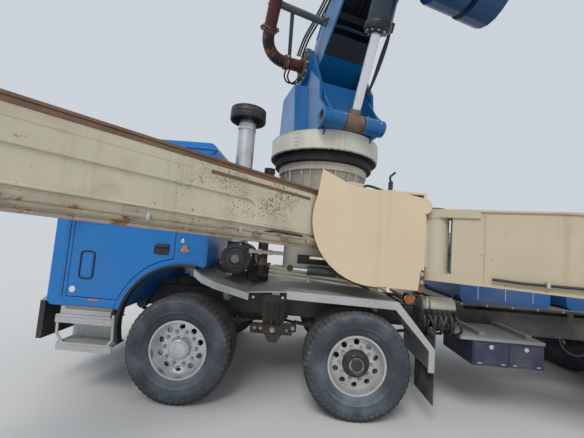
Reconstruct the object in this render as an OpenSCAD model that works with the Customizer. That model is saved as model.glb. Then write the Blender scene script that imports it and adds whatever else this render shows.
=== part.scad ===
/* [Wheels and axles] */
// Outer diameter of the wide front tyres
front_tyre_d = 1090; // [1040:5:1140]
// Section width of the wide front tyres
front_tyre_w = 400; // [340:5:410]
// Outer diameter of the rear twin tyres
rear_tyre_d = 1060; // [1020:5:1090]
// Section width of one rear tyre
rear_tyre_w = 275; // [240:5:290]
// Distance between the two tyres of a rear pair, centre to centre
twin_pitch = 335; // [320:5:360]
// Rim diameter over the bead seats
rim_d = 572; // [560:1:580]
// Distance between the two steered axles
steer_axle_gap = 1830; // [1700:10:1900]
// Distance from the second steered axle to the first driven axle
wheelbase_rear = 4000; // [3800:10:4300]
// Distance between the two driven axles
tandem_gap = 1370; // [1300:10:1420]
// Track of the steered axles, between wheel centres
front_track = 2090; // [2060:10:2120]
// Track of the driven axles, between the centres of the outer wheels
rear_track = 2180; // [2140:10:2200]
// Distance from a kingpin to the centre of its wheel
kingpin_offset = 245; // [230:5:260]

/* [Frame] */
// Width over the frame rails
frame_w = 860; // [800:10:900]
// Height of a frame rail
rail_h = 270; // [240:5:300]
// Width of a frame rail's flanges
rail_flange = 80; // [70:1:90]
// Plate thickness of a frame rail
rail_t = 9; // [7:1:12]
// Height of the rails' top above the ground
frame_top = 1050; // [1030:5:1080]

/* [Cab] */
// Front face of the cab, ahead of the second steered axle
cab_front = 3240; // [3200:10:3300]
// Back wall of the cab, ahead of the second steered axle
cab_back = 1620; // [1580:10:1660]
// Width over the cab's sides
cab_w = 2440; // [2380:10:2480]
// Height of the cab's lower edge
cab_sill = 900; // [880:5:940]
// Height of the roof
cab_roof = 2720; // [2660:10:2800]
// Height of the windows' lower edge
belt_z = 1850; // [1800:10:1900]
// Thickness of the cab's walls and doors
cab_wall = 45; // [35:1:60]
// Gap around the doors
door_gap = 8; // [6:1:12]
// Front edge of the doors
door_front = 3040; // [3000:10:3060]
// Back edge of the doors
door_back = 1970; // [1940:10:2000]
// Height of the doors' lower edge
door_bottom = 1000; // [980:5:1040]

/* [Pedestal and turret] */
// Slewing axis, ahead of the second steered axle
slew_x = 400; // [350:10:450]
// Boom direction, counted from straight ahead towards the left
slew_deg = 110; // [100:1:115]
// Outer radius of the slewing ring's cover
ring_r = 774; // [740:2:800]
// Height of the ring cover's lower edge
ring_z = 2910; // [2880:5:2940]
// Height of the ring cover
ring_h = 240; // [220:5:260]
// Height of the boom's foot pin
foot_z = 4280; // [4250:10:4320]
// Foot pin's place ahead of the slewing axis
foot_ahead = 60; // [40:5:80]
// Lift cylinder pin's place ahead of the slewing axis
lift_pin_u = 800; // [780:5:820]
// Height of the lift cylinder's pin on the turret
lift_pin_z = 3260; // [3260:5:3280]

/* [Boom] */
// Boom's angle above level
boom_deg = 42; // [38:1:46]
// Width of the first boom section
boom_w = 620; // [600:5:640]
// Length of the first section between its pins
boom_len = 8700; // [8400:50:9000]
// Drop of the folded sections below the first one's foot pin
fold_drop = 866; // [860:2:880]
// Length of the second section between its pins
arm2_len = 7350; // [7600:10:7900]
// Length of the third section between its pins
arm3_len = 7450; // [7300:10:7500]
// Length of the fourth section from its pin to its end
arm4_len = 7100; // [6900:10:7200]
// Outer diameter of the delivery pipe
pipe_d = 160; // [150:1:165]

/* [Outriggers] */
// Angle of the front legs from straight ahead
front_leg_deg = 42; // [40:1:45]
// Height of the front legs' box
front_leg_h = 610; // [600:5:620]
// Width of the front legs' box
front_leg_w = 300; // [280:5:320]
// Height of the front legs' lower flange
front_leg_z = 1690; // [1680:2:1700]
// Rise of the front legs towards their jacks
front_leg_rise = 2.6; // [2:0.1:2.8]
// Length of a front leg outside its housing
front_leg_out = 3000; // [2800:50:3200]
// Angle of the rear legs from straight back
rear_leg_deg = 25; // [20:1:30]
// Height of the rear legs' box
rear_leg_h = 730; // [700:5:750]
// Height of the rear legs' lower flange
rear_leg_z = 1460; // [1440:5:1480]
// Length of a rear leg from its pivot to its jack
rear_leg_len = 5530; // [5450:10:5650]
// Rear leg's pivot, ahead of the second steered axle
rear_pivot_x = -750; // [-780:5:-730]
// Rear leg's pivot, out from the centre line
rear_pivot_y = 1120; // [1130:5:1170]
// Diameter of the jacks' feet
foot_d = 420; // [380:10:460]

/* [Pump and hopper] */
// Back edge of the hopper, behind the second steered axle
hopper_back = 8300; // [8200:10:8400]
// Width of the hopper
hopper_w = 1500; // [1400:10:1600]
// Height of the hopper's rim
hopper_top = 1480; // [1440:10:1520]

/* [Hidden] */
$fn = 48;
// Middle of the whole machine, taken off so that it stands over the origin
origin_x = 2450;
origin_y = -1653;
axle_x = [steer_axle_gap, 0, -wheelbase_rear, -wheelbase_rear - tandem_gap];
front_r = front_tyre_d / 2;
rear_r = rear_tyre_d / 2;
rim_r = rim_d / 2;
kingpin_y = front_track / 2 - kingpin_offset;
rail_z = frame_top - rail_h;
frame_back = -hopper_back + 1160;
soft_gap = 0.3;
run_gap = 0.05;
spindle_r = 40;
kingpin_r = 25;
hub_r = 100;
hand_hole_r = 30;
hand_hole_circle = 214;
arch_r = 660;
arch_z = 760;
cab_side = cab_w / 2;
cab_floor = arch_z + arch_r + 50;
deck_z = 1215;
deck_y = 1250;
leg_dir = [cos(front_leg_deg), sin(front_leg_deg)];
leg_mouth = [700, 1168];
leg_inside = 450;
leg_lift = front_leg_out * sin(front_leg_rise);
leg_mid_z = front_leg_z + front_leg_h / 2;
sleeve_drop = 110;
plate_y = 1300;
plate_t = 20;
jack_r = 65;
tip_pin = [boom_len, -fold_drop];
arm_half = 250;
arm2_y = 560;
arm2_w = 380;
arm3_y = 985;
arm3_w = 330;
arm4_w = 240;
arm4_rise = 530;
arm3_root = [boom_len - arm2_len, -fold_drop];
arm4_root = [arm3_root[0] + arm3_len, -fold_drop + arm4_rise];
boom_pin_r = 70;
pipe_r = pipe_d / 2;
pipe_y = -1040;
pipe_bend = 280;
line_y = -250;
line_z = 680;
lift_end = [2800, 60];
line_r = 66.5;

// Points of an arc in a plane, from angle a to angle b
function arc(c, r, a, b, n) = [for (i = [0:n]) c + r * [cos(a + (b - a) * i / n), sin(a + (b - a) * i / n)]];

// Moves the truck's own frame over the origin
module place() {
    translate([origin_x, origin_y, 0])
        children();
}

// Draws a left-hand piece on the left for 1 and mirrored for -1
module side(s) {
    if (s > 0)
        children();
    else
        mirror([0, 1, 0])
            children();
}

// Draws a left-hand piece on both sides
module both_sides() {
    side(1)
        children();
    side(-1)
        children();
}

// Side outline extruded across the truck from y0 to y1
module slab(y0, y1) {
    translate([0, y1, 0])
        rotate([90, 0, 0])
            linear_extrude(y1 - y0)
                children();
}

// Box given by its lowest and highest corners
module block(a, b) {
    translate(a)
        cube(b - a);
}

// Round bar across the truck from y0 to y1
module bar_y(x, z, r, y0, y1) {
    translate([x, y1, z])
        rotate([90, 0, 0])
            cylinder(r = r, h = y1 - y0);
}

// Round bar between two points
module bar(a, b, r) {
    d = b - a;
    h = norm(d);
    translate(a)
        rotate([0, acos(d[2] / h), atan2(d[1], d[0])])
            cylinder(r = r, h = h);
}

// Wheels: columns of the tyre section are share of radius and share of half width
tyre_section = [[0.60, 0.80], [0.72, 0.985], [0.79, 1.0], [0.87, 0.985], [0.95, 0.91], [0.985, 0.82],
    [1.0, 0.68]];

module tyre(r, w) {
    half = [for (p = tyre_section) [r * p[0], w / 2 * p[1]]];
    bead = [rim_r + soft_gap, w / 2 * 0.70];
    rotate([90, 0, 0])
        rotate_extrude($fn = 72)
            polygon(concat([[bead[0], -bead[1]]], [for (p = half) [p[0], -p[1]]],
                [for (i = [len(half) - 1:-1:0]) half[i]], [bead]));
}

// Rim of half width b with its disc at y_disc, seen with the outer side towards +Y
module rim(b, y_disc, y_in, y_out) {
    difference() {
        rotate([-90, 0, 0])
            rotate_extrude($fn = 72)
                polygon([[rim_r + 11, -b - 9], [rim_r + 11, -b - 1], [rim_r, -b + 4], [rim_r, b - 4],
                    [rim_r + 11, b + 1],
                    [rim_r + 11, b + 9], [rim_r - 8, b + 9], [rim_r - 16, y_disc + 12],
                        [hand_hole_circle - 20, y_disc + 34],
                    [hub_r + 20, y_disc + 30], [hub_r, y_out - 25], [hub_r - 25, y_out], [0, y_out],
                        [0, y_in], [hub_r, y_in],
                    [hub_r + 5, y_disc + 14], [hand_hole_circle - 24, y_disc + 16],
                        [rim_r - 30, y_disc - 10],
                    [rim_r - 14, -b - 9]]);
        for (i = [0:9])
            rotate([0, i * 36 + 18, 0])
                bar_y(hand_hole_circle, 0, hand_hole_r, y_disc - 60, y_disc + 80);
        bar_y(0, 0, spindle_r + run_gap, y_in - 1, y_in + 130);
    }
}

module front_wheel(i, s) {
    translate([axle_x[i], 0, front_r])
        side(s)
            translate([0, front_track / 2, 0]) {
                color("dimgray")
                    tyre(front_r, front_tyre_w);
                color("silver")
                    rim(154, 60, -70, 150);
            }
}

module twin_wheel(i, s) {
    translate([axle_x[i], 0, rear_r])
        side(s)
            translate([0, rear_track / 2, 0]) {
                color("dimgray") {
                    tyre(rear_r, rear_tyre_w);
                    translate([0, -twin_pitch, 0])
                        tyre(rear_r, rear_tyre_w);
                }
                color("silver") {
                    rim(105, -120, -250, 60);
                    translate([0, -twin_pitch, 0])
                        twin_inner_rim(105);
                }
            }
}

// Plain barrel of the inner rim, joined to the outer one
module twin_inner_rim(b) {
    rotate([-90, 0, 0])
        rotate_extrude($fn = 72)
            polygon([[rim_r + 11, -b - 9], [rim_r + 11, -b - 1], [rim_r, -b + 4], [rim_r, b - 4],
                [rim_r + 11, b + 1],
                [rim_r + 11, b + 9], [rim_r - 14, twin_pitch - 112], [rim_r - 28, twin_pitch - 112],
                [rim_r - 14, b], [rim_r - 14, -b - 9]]);
}

module knuckle(i, s) {
    color("dimgray")
        translate([axle_x[i], 0, front_r])
            side(s) {
                for (z = [66, -96])
                    block([-50, kingpin_y - 55, z], [50, kingpin_y + 72, z + 30]);
                translate([0, kingpin_y, -110])
                    cylinder(r = kingpin_r - run_gap, h = 220);
                block([-60, kingpin_y + 65, -96], [60, kingpin_y + 95, 96]);
                bar_y(0, 0, 180, kingpin_y + 95, kingpin_y + 160);
                bar_y(0, 0, spindle_r, kingpin_y + 160, kingpin_y + kingpin_offset + 50);
            }
}

// Leaf spring between two eyes, bowed up by rise in the middle or down when rise is negative
module leaf_spring(half, rise, leaves, t) {
    for (k = [0:leaves - 1]) {
        h = half * (1 - 0.17 * k);
        top = [for (i = [-8:8]) let (x = h * i / 8) [x,
            rise * (1 - x * x / half / half) - k * t * sign(rise)]];
        slab(-40, 40)
            polygon(concat(top, [for (i = [16:-1:0]) top[i] - [0, t * sign(rise)]]));
    }
}

module front_axles() {
    color("dimgray")
        for (i = [0, 1])
            translate([axle_x[i], 0, front_r]) {
                difference() {
                    union() {
                        slab(-kingpin_y + 30, kingpin_y - 30)
                            polygon([[-48, -60], [48, -60], [48, -40], [14, -28], [14, 28], [48, 40],
                                [48, 60], [-48, 60],
                                [-48, 40], [-14, 28], [-14, -28], [-48, -40]]);
                        both_sides()
                            translate([0, kingpin_y, -65])
                                cylinder(r = 55, h = 130);
                    }
                    both_sides()
                        translate([0, kingpin_y, -70])
                            cylinder(r = kingpin_r, h = 140);
                }
                both_sides()
                    translate([0, 440, 175])
                        leaf_spring(790, -75, 4, 13);
                both_sides()
                    block([-60, 400, 59], [60, 480, 110]);
            }
}

module rear_axles() {
    color("dimgray") {
        for (i = [2, 3])
            translate([axle_x[i], 0, rear_r]) {
                rotate([0, 90, 0])
                    rotate_extrude()
                        polygon([[0, -130], [120, -130], [200, -60], [205, 0], [200, 60], [120, 130],
                            [0, 130]]);
                bar_y(0, 0, 75, -560, 560);
                both_sides() {
                    bar_y(0, 0, 185, 560, 680);
                    bar_y(0, 0, spindle_r, 680, rear_track / 2 - 250 + 120);
                }
                both_sides()
                    block([-80, 455, 60], [80, 535, 95]);
            }
        both_sides()
            translate([(axle_x[2] + axle_x[3]) / 2, 495, rear_r + 107])
                leaf_spring(tandem_gap / 2 + 60, 120, 5, 16);
    }
}

module frame() {
    front = cab_front - 60;
    color("dimgray") {
        both_sides()
            translate([frame_back, 0, 0])
                rotate([90, 0, 90])
                    linear_extrude(front - frame_back)
                        polygon([[frame_w / 2, rail_z], [frame_w / 2, frame_top],
                            [frame_w / 2 - rail_flange, frame_top],
                            [frame_w / 2 - rail_flange, frame_top - rail_t],
                                [frame_w / 2 - rail_t, frame_top - rail_t],
                            [frame_w / 2 - rail_t, rail_z + rail_t],
                                [frame_w / 2 - rail_flange, rail_z + rail_t],
                            [frame_w / 2 - rail_flange, rail_z]]);
        for (x = [front - 60, 980, -900, -2300, -3700])
            block([x, -frame_w / 2 + rail_t, rail_z + 40], [x + 60, frame_w / 2 - rail_t, frame_top - 40]);
        // Spring hangers at both ends of each spring
        both_sides()
            for (x = [axle_x[0] + 800, axle_x[0] - 800, axle_x[1] + 800, axle_x[1] - 800])
                slab(frame_w / 2 - 30, frame_w / 2 + 60)
                    polygon([[x - 70, frame_top - 20], [x + 70, frame_top - 20], [x + 60, rail_z - 10],
                        [x + 20, rail_z - 45],
                        [x - 20, rail_z - 45], [x - 60, rail_z - 10]]);
        // Hanger casting between the steered axles
        both_sides()
            slab(frame_w / 2 + 55, frame_w / 2 + 150)
                polygon([[780, frame_top], [1060, frame_top], [1050, 720], [1000, 640], [960, 560],
                    [900, 560], [870, 650], [800, 720]]);
        both_sides()
            block([800, frame_w / 2 - 1, 860], [1040, frame_w / 2 + 60, frame_top - 10]);
        // Trunnion bracket of the driven axles
        both_sides()
            slab(frame_w / 2, 540)
                polygon([[-4860, frame_top - 60], [-4510, frame_top - 60], [-4600, 790], [-4770, 790]]);
    }
}

module engine() {
    color("darkslategray")
        block([1080, -330, 660], [2060, 330, 1370]);
}

module cab_outline() {
    polygon(concat([[cab_back, cab_floor - 50], [cab_back, cab_roof - 90]],
        arc([cab_back + 90, cab_roof - 90], 90, 180, 90, 6),
        arc([cab_front - 260, cab_roof - 110], 110, 90, 20, 6),
        [[cab_front, belt_z - 60], [cab_front, cab_sill + 40], [cab_front - 40, cab_sill],
            [2400, cab_sill]]));
}

module cab_inner() {
    polygon([[cab_back + cab_wall, cab_floor], [cab_back + cab_wall, cab_roof - 110],
        [cab_back + 120, cab_roof - cab_wall],
        [cab_front - 250, cab_roof - cab_wall], [cab_front - 205, cab_roof - 130],
            [cab_front - cab_wall, belt_z - 70],
        [cab_front - cab_wall, cab_sill + cab_wall], [2540, cab_sill + cab_wall], [2540, cab_floor]]);
}

// Door outline grown by g, its lower back corner follows the wheel arch
module door_outline(g) {
    difference() {
        polygon([[door_front + g, door_bottom - g], [door_front + g, belt_z + 60],
            [door_front - 120 + g, cab_roof - 150 + g],
            [door_back - g, cab_roof - 150 + g], [door_back - g, door_bottom - g]]);
        translate([axle_x[0], arch_z])
            circle(r = arch_r + 60 - g);
    }
}

module door_window(g) {
    polygon([[door_front - 90 + g, belt_z - g], [door_front - 90 + g, belt_z + 70],
        [door_front - 190 + g, cab_roof - 230 + g],
        [door_back + 80 - g, cab_roof - 230 + g], [door_back + 80 - g, belt_z - g]]);
}

module cab_shell() {
    color("dodgerblue") {
        difference() {
            slab(-cab_side, cab_side)
                cab_outline();
            slab(-cab_side + cab_wall, cab_side - cab_wall)
                cab_inner();
            slab(-cab_side - 1, cab_side + 1)
                translate([axle_x[0], arch_z])
                    circle(r = arch_r);
            slab(-frame_w / 2 - 75, frame_w / 2 + 75)
                polygon([[2000, cab_sill - 10], [2000, frame_top + 40],
                    [cab_front - cab_wall, frame_top + 40],
                    [cab_front - cab_wall, cab_sill - 10]]);
            slab(-cab_side - 1, cab_side + 1)
                door_outline(door_gap);
            block([cab_front - 300, -cab_side + 110, belt_z + 30],
                [cab_front + 10, cab_side - 110, cab_roof - 190]);
            block([cab_back - 10, -700, belt_z + 60], [cab_back + 60, 700, cab_roof - 260]);
        }
        // Hump over the engine and the frame
        difference() {
            slab(-frame_w / 2 - 100, frame_w / 2 + 100)
                polygon([[2000, cab_floor - 50], [2540, cab_floor - 10], [2540, frame_top + 90],
                    [cab_front - cab_wall, frame_top + 90],
                    [cab_front - cab_wall, frame_top + 40], [2520, frame_top + 40], [2300, cab_floor - 60]]);
            slab(-cab_side, cab_side)
                translate([axle_x[0], arch_z])
                    circle(r = arch_r);
        }
    }
    // Rubber lip around each wheel arch
    color("black")
        both_sides()
            slab(cab_side - 60, cab_side + 20)
                polygon(concat(arc([axle_x[0], arch_z], arch_r, 100, -18, 16), arc([axle_x[0], arch_z],
                    arch_r - 28, -18, 100, 16)));
}

module cab_glass() {
    color("slategray") {
        translate([cab_front - 45, -cab_side + 112, belt_z + 32])
            rotate([0, -12.5, 0])
                cube([6, cab_w - 224, 640]);
        block([cab_back + 20, -698, belt_z + 62], [cab_back + 26, 698, cab_roof - 262]);
    }
}

module cab_interior() {
    color("dimgray") {
        both_sides()
            slab(560, 1000) {
                polygon(concat([[2150, cab_floor + 1]], [[2560, cab_floor + 1]],
                    arc([2580, cab_floor + 260], 60, 0, 90, 5), [[2120, cab_floor + 330]]));
                polygon(concat([[2060, cab_floor + 335]], [[2170, cab_floor + 335]], arc([2080, 2360],
                    50, 0, 90, 5), [[2000, 2380]]));
            }
        slab(-1000, 1000)
            polygon([[2900, 1150], [cab_front - 60, 1150], [cab_front - 60, 1700], [3000, 1780],
                [2880, 1700]]);
        translate([2800, 780, 1760])
            rotate([0, -55, 0])
                rotate_extrude()
                    translate([210, 0])
                        circle(r = 14, $fn = 16);
        bar([2800, 780, 1760], [2960, 780, 1650], 22);
        translate([2800, 780, 1760])
            rotate([0, -55, 0])
                block([-12, -205, -8], [12, 205, 8]);
    }
}

module door(s) {
    color("dodgerblue")
        side(s)
            difference() {
                slab(cab_side - cab_wall, cab_side)
                    door_outline(0);
                slab(cab_side - cab_wall - 1, cab_side + 1)
                    door_window(0);
                // Recessed handle
                block([door_back + 60, cab_side - 12, 1500], [door_back + 210, cab_side + 1, 1590]);
            }
    color("slategray")
        side(s)
            slab(cab_side - 26, cab_side - 20)
                door_window(0);
    color("black")
        side(s)
            slab(cab_side - 12.5, cab_side - 3)
                polygon([[door_back + 75, 1530], [door_back + 195, 1530], [door_back + 195, 1560],
                    [door_back + 75, 1560]]);
}

module front_bumper() {
    color("black")
        linear_extrude(380)
            polygon([[cab_front + 5, -cab_side], [cab_front + 60, -cab_side],
                [cab_front + 140, -cab_side + 160],
                [cab_front + 140, cab_side - 160], [cab_front + 60, cab_side], [cab_front + 5, cab_side]]);
}

module bumper_placed() {
    translate([0, 0, 550])
        front_bumper();
    color("black")
        both_sides()
            block([cab_front - 60, frame_w / 2 - 80, 790], [cab_front + 6, frame_w / 2, 900]);
}

// Bent strip of plate, a polygon made from points and a thickness downwards
module strip(points, t) {
    polygon(concat(points, [for (i = [len(points) - 1:-1:0]) points[i] - [0, t]]));
}

module steps_and_mudguards() {
    color("lightgray")
        both_sides() {
            // Steps ahead of the front wheel, columns are x from, x to, z
            for (p = [[2505, 3090, 800], [2480, 3050, 530]]) {
                block([p[0], 1050, p[2]], [p[1], 1260, p[2] + 14]);
                block([p[0], 1246, p[2] - 60], [p[1], 1260, p[2]]);
            }
            block([2560, 1040, 530], [3050, 1050, 814]);
            block([2540, 1000, 814], [3060, 1240, 898]);
            // Guard behind the first wheel
            slab(620, deck_y - 14)
                strip([[1730, 1375], [1640, 1310], [1500, 1260], [1150, 1180]], 8);
            slab(deck_y - 14, deck_y)
                strip([[1730, 1380], [1640, 1315], [1500, 1265], [1150, 1185]], 70);
            // Guard over the second wheel
            slab(505, deck_y - 13)
                polygon([[760, deck_z + 18], [-370, deck_z], [-735, 780], [-735, 560], [-727, 560],
                    [-727, 778], [-366, deck_z - 8], [760, deck_z + 10]]);
            slab(deck_y - 14, deck_y)
                polygon([[760, deck_z + 22], [-370, deck_z + 4], [-750, 782], [-750, 560], [-690, 560],
                    [-690, 768], [-345, deck_z - 76], [760, deck_z - 60]]);
            slab(frame_w / 2 + 75, deck_y)
                strip([[1152, 1200], [758, 1232]], 10);
            // Deck over the hanger casting
            block([860, frame_w / 2 + 70, frame_top + 0.3], [960, 570, 1215]);
            for (x = [-340, 1480])
                block([x, frame_w / 2 + 0.3, 960], [x + 60, 640, 1000]);
            block([-340, 560, 1000], [-280, 640, 1210]);
            block([1480, 600, 1000], [1540, 680, 1300]);
            // Guards over the driven axles
            slab(600, deck_y)
                polygon([[-3130, 900], [-3330, 1190], [-6050, 1190], [-6200, 900], [-6210, 900],
                    [-6056, 1200], [-3324, 1200], [-3120, 900]]);
            for (x = [-3600, -4735, -5950])
                block([x, 560.3, 1130], [x + 60, 900, 1191]);
        }
    color("black")
        both_sides() {
            block([-760, 800, 240], [-751, deck_y - 16, 960]);
            block([-6085, 620, 230], [-6076, deck_y - 16, 1195]);
        }
}

module lamps() {
    // Columns are x, y, z, radius
    color("orange")
        both_sides()
            for (p = [[1850, cab_side + 1, 1585, 26], [-520, 1120, 1240, 48]])
                bar_y(p[0], p[2], p[3], p[1], p[1] + 22);
    color("white")
        both_sides()
            block([cab_front + 142, 760, 700], [cab_front + 165, 960, 840]);
    color("red")
        both_sides()
            block([frame_back + 15, 900, 820], [frame_back + 40, 1180, 900]);
    color("black")
        both_sides()
            block([frame_back + 40, frame_w / 2, 810], [frame_back + 65, 1200, 910]);
    color("silver")
        both_sides()
            block([-540, 560, 1225], [-500, 1120, 1255]);
}

module mirrors() {
    color("black")
        both_sides() {
            for (p = [[2450, 2470], [1900, 1890]]) {
                bar_y(3085, p[0], 18, cab_side + soft_gap, cab_side + 12);
                bar([3085, cab_side + 8, p[0]], [3130, cab_side + 210, p[1]], 12);
            }
            bar([3130, cab_side + 210, 1880], [3130, cab_side + 210, 2480], 12);
            block([3085, cab_side + 130, 1980], [3118, cab_side + 330, 2400]);
        }
}

module stacks() {
    color("silver")
        difference() {
            translate([1385, 930, 1690.3])
                cylinder(r = 98, h = 1440);
            translate([1385, 930, 1690])
                cylinder(r = 92, h = 1430);
        }
    color("black") {
        translate([1385, 930, 3100])
            cylinder(r = 205, h = 130);
        translate([1385, 930, 3230])
            cylinder(r1 = 205, r2 = 150, h = 24);
        // Exhaust pipe on the inner side
        translate([1110, 640, 1300])
            cylinder(r = 62, h = 1330);
        block([1040, 440, 1290], [1178, 720, 1300]);
        block([1060, 440, frame_top + 0.3], [1160, 500, 1290]);
    }
}

module air_cleaner() {
    color("black") {
        bar_y(1360, 1500, 165, 420, 1040);
        bar_y(1360, 1500, 178, 760, 785);
        translate([1385, 930, 1500])
            cylinder(r = 101, h = 190);
        block([1300, 440, 1180], [1420, 520, 1400]);
    }
    color("silver")
        bar_y(1360, 1500, 22, 1040, 1062);
}

module side_boxes() {
    // Toolbox on the left, fuel tank on the right
    color("midnightblue")
        block([-1980, 470, 600], [-1240, 1060, 860]);
    color("gray")
        block([-1980, 455, 860], [-1100, 1075, 890]);
    color("gray")
        for (x = [-1900, -1400])
            block([x, frame_w / 2, 890], [x + 60, 1000, 930]);
    color("silver")
        slab(-1200, -520)
            polygon(concat(arc([-2300, 620], 80, 180, 270, 5), arc([-1260, 620],
                80, 270, 360, 5), arc([-1260, 1020], 80, 0, 90, 5),
                arc([-2300, 1020], 80, 90, 180, 5)));
    color("gray")
        for (x = [-2200, -1450])
            block([x, -520, 800], [x + 80, -frame_w / 2, 860]);
}

module valve_bank() {
    color("black") {
        for (i = [0:5])
            block([-1010 + i * 60, 900, 960], [-970 + i * 60, 1080, 1090]);
        block([-1040, 880, 1000], [-640, 1000, 1050]);
        block([-990, frame_w / 2, 1010], [-910, 880, 1045]);
    }
    color("wheat") {
        bar([-1060, 980, 1170], [-700, 980, 1170], 62);
        bar([-740, 980, 1170], [-700, 980, 1170], 84);
        block([-960, 960, 1050], [-900, 1000, 1110]);
        block([-800, 960, 1050], [-740, 1000, 1110]);
    }
}

module rear_deck() {
    color("lightgray") {
        // Walkway with the water tank and the hydraulic tank
        block([-6900, -560, 1120], [-1250, 560, 1150]);
        for (x = [-1500, -2900, -4300, -5700, -6800])
            block([x, -frame_w / 2, frame_top], [x + 80, frame_w / 2, 1120]);
    }
    color("dodgerblue") {
        slab(-520, 520)
            polygon(concat(arc([-2440, 1230], 80, 180, 270, 5), arc([-1480, 1230],
                80, 270, 360, 5), arc([-1480, 1820], 80, 0, 90, 5),
                arc([-2440, 1820], 80, 90, 180, 5)));
        slab(-480, 480)
            polygon(concat(arc([-3740, 1230], 80, 180, 270, 5), arc([-2840, 1230],
                80, 270, 360, 5), arc([-2840, 1620], 80, 0, 90, 5),
                arc([-3740, 1620], 80, 90, 180, 5)));
    }
}

// Slewing column with its flange and the fixed ring
module pedestal() {
    color("wheat") {
        translate([slew_x, 0, 0]) {
            difference() {
                rotate_extrude($fn = 72)
                    polygon([[0, frame_top + 1], [480, frame_top + 1], [480, 2360], [600, 2700],
                        [600, 2780], [632, 2780], [632, 2900], [0, 2900]]);
                translate([0, 0, 1700])
                    cylinder(r = 440, h = 1300);
            }
            for (i = [0:11])
                rotate([0, 0, i * 30])
                    slab(-8, 8)
                        polygon([[470, 2372], [500, 2372], [615, 2620], [615, 2790], [590, 2790],
                            [470, 2420]]);
            difference() {
                translate([0, 0, ring_z])
                    cylinder(r = ring_r, h = ring_h, $fn = 72);
                translate([0, 0, ring_z - 1])
                    cylinder(r = ring_r - 14, h = ring_h + 2, $fn = 72);
            }
        }
        block([slew_x - 800, -frame_w / 2, frame_top + 1], [slew_x + 640, frame_w / 2, 1340]);
        both_sides()
            block([slew_x - 700, frame_w / 2 - 20, 1360], [slew_x - 300, 980, 1540]);
        both_sides()
            block([slew_x - 700, frame_w / 2 - 20, frame_top + 1], [slew_x - 300, frame_w / 2, 1400]);
    }
    color("black")
        translate([slew_x, 0, 2900])
            difference() {
                cylinder(r = ring_r - 10, h = 30, $fn = 72);
                translate([0, 0, -1])
                    cylinder(r = 440, h = 40);
            }
}

// Outline of the big outer plate, its round corner lies ahead of the leg's root
module housing_plate() {
    polygon(concat([[490, 2510]], arc([-92, 2013], 655, 20, -98, 14), [[-530, 1352], [-555, 1560],
        [-585, 1560], [-585, 2090], [-570, 2120]],
        arc([-560, 2200], 80, 240, 90, 6), [[-250, 2345], [-30, 2330], [200, 2370]]));
}

module leg_housings() {
    color("wheat")
        both_sides() {
            slab(plate_y - plate_t, plate_y)
                housing_plate();
            // Floor and roof of the sleeve, tied to the column
            difference() {
                union() {
                    translate([0, 0, front_leg_z - sleeve_drop])
                        linear_extrude(22)
                            polygon([[-590, 980], [-560, 560], [-100, 560], [520, 1000],
                                [560, plate_y - plate_t], [-590, plate_y - plate_t]]);
                    translate([0, 0, front_leg_z + front_leg_h + 18])
                        linear_extrude(22)
                            polygon([[-590, 700], [-300, 560], [-100, 560], [400, 900],
                                [420, plate_y - plate_t], [-590, plate_y - plate_t]]);
                }
                translate([rear_pivot_x, rear_pivot_y, 1000])
                    cylinder(r = 140, h = 2000);
            }
            // Rear wall and its tie to the barrel
            block([-590, 700, front_leg_z - sleeve_drop + 10],
                [-560, plate_y - plate_t, front_leg_z + front_leg_h + 18]);
            difference() {
                block([-700, rear_pivot_y - 100, 1580], [-560, rear_pivot_y + 100, 2080]);
                translate([rear_pivot_x, rear_pivot_y, 1000])
                    cylinder(r = 100, h = 2000);
            }
            block([-400, 600, 1540], [60, plate_y - plate_t, front_leg_z - sleeve_drop + 1]);
            // Barrel for the rear leg's pin
            difference() {
                translate([rear_pivot_x, rear_pivot_y, 1560])
                    cylinder(r = 143, h = 540);
                translate([rear_pivot_x, rear_pivot_y, 1500])
                    cylinder(r = 60, h = 700);
            }
        }
}

// Beam section with flanges, seen along the leg
module leg_beam(w, h, flange, t) {
    difference() {
        square([w, h], center = true);
        square([w - 2 * t, h - 2 * t], center = true);
    }
    for (z = [-h / 2 + 10, h / 2 - 10])
        translate([0, z])
            square([w + 2 * flange, 20], center = true);
}

module front_leg(s) {
    color("wheat")
        side(s)
            translate([leg_mouth[0], leg_mouth[1], leg_mid_z])
                rotate([0, 0, front_leg_deg]) {
                    rotate([0, -front_leg_rise, 0])
                        translate([-leg_inside, 0, 0])
                            rotate([90, 0, 90])
                                linear_extrude(front_leg_out + leg_inside)
                                    leg_beam(front_leg_w, front_leg_h, 22, 14);
                    // Jack head at the outer end
                    translate([front_leg_out - 40, 0, leg_lift - front_leg_h / 2])
                        jack_head(front_leg_h, front_leg_h + 80);
                }
}

module jack_head(h, tall) {
    difference() {
        union() {
            hull() {
                translate([180, 0, 0])
                    cylinder(r = 150, h = h);
                translate([0, -150, 0])
                    cube([20, 300, h]);
            }
            translate([180, 0, -40])
                cylinder(r = jack_r + 35, h = tall + 40);
        }
        translate([180, 0, -50])
            cylinder(r = jack_r + 0.5, h = tall + 20);
    }
}

module jack(len) {
    cylinder(r = jack_r, h = len);
    cylinder(r = foot_d / 2, h = 40);
    translate([0, 0, 40])
        cylinder(r1 = 120, r2 = jack_r, h = 60);
}

module front_jack(s) {
    color("silver")
        side(s)
            translate([leg_mouth[0] + (front_leg_out + 140) * leg_dir[0],
                leg_mouth[1] + (front_leg_out + 140) * leg_dir[1], 0])
                jack(front_leg_z + leg_lift + 90);
}

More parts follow.
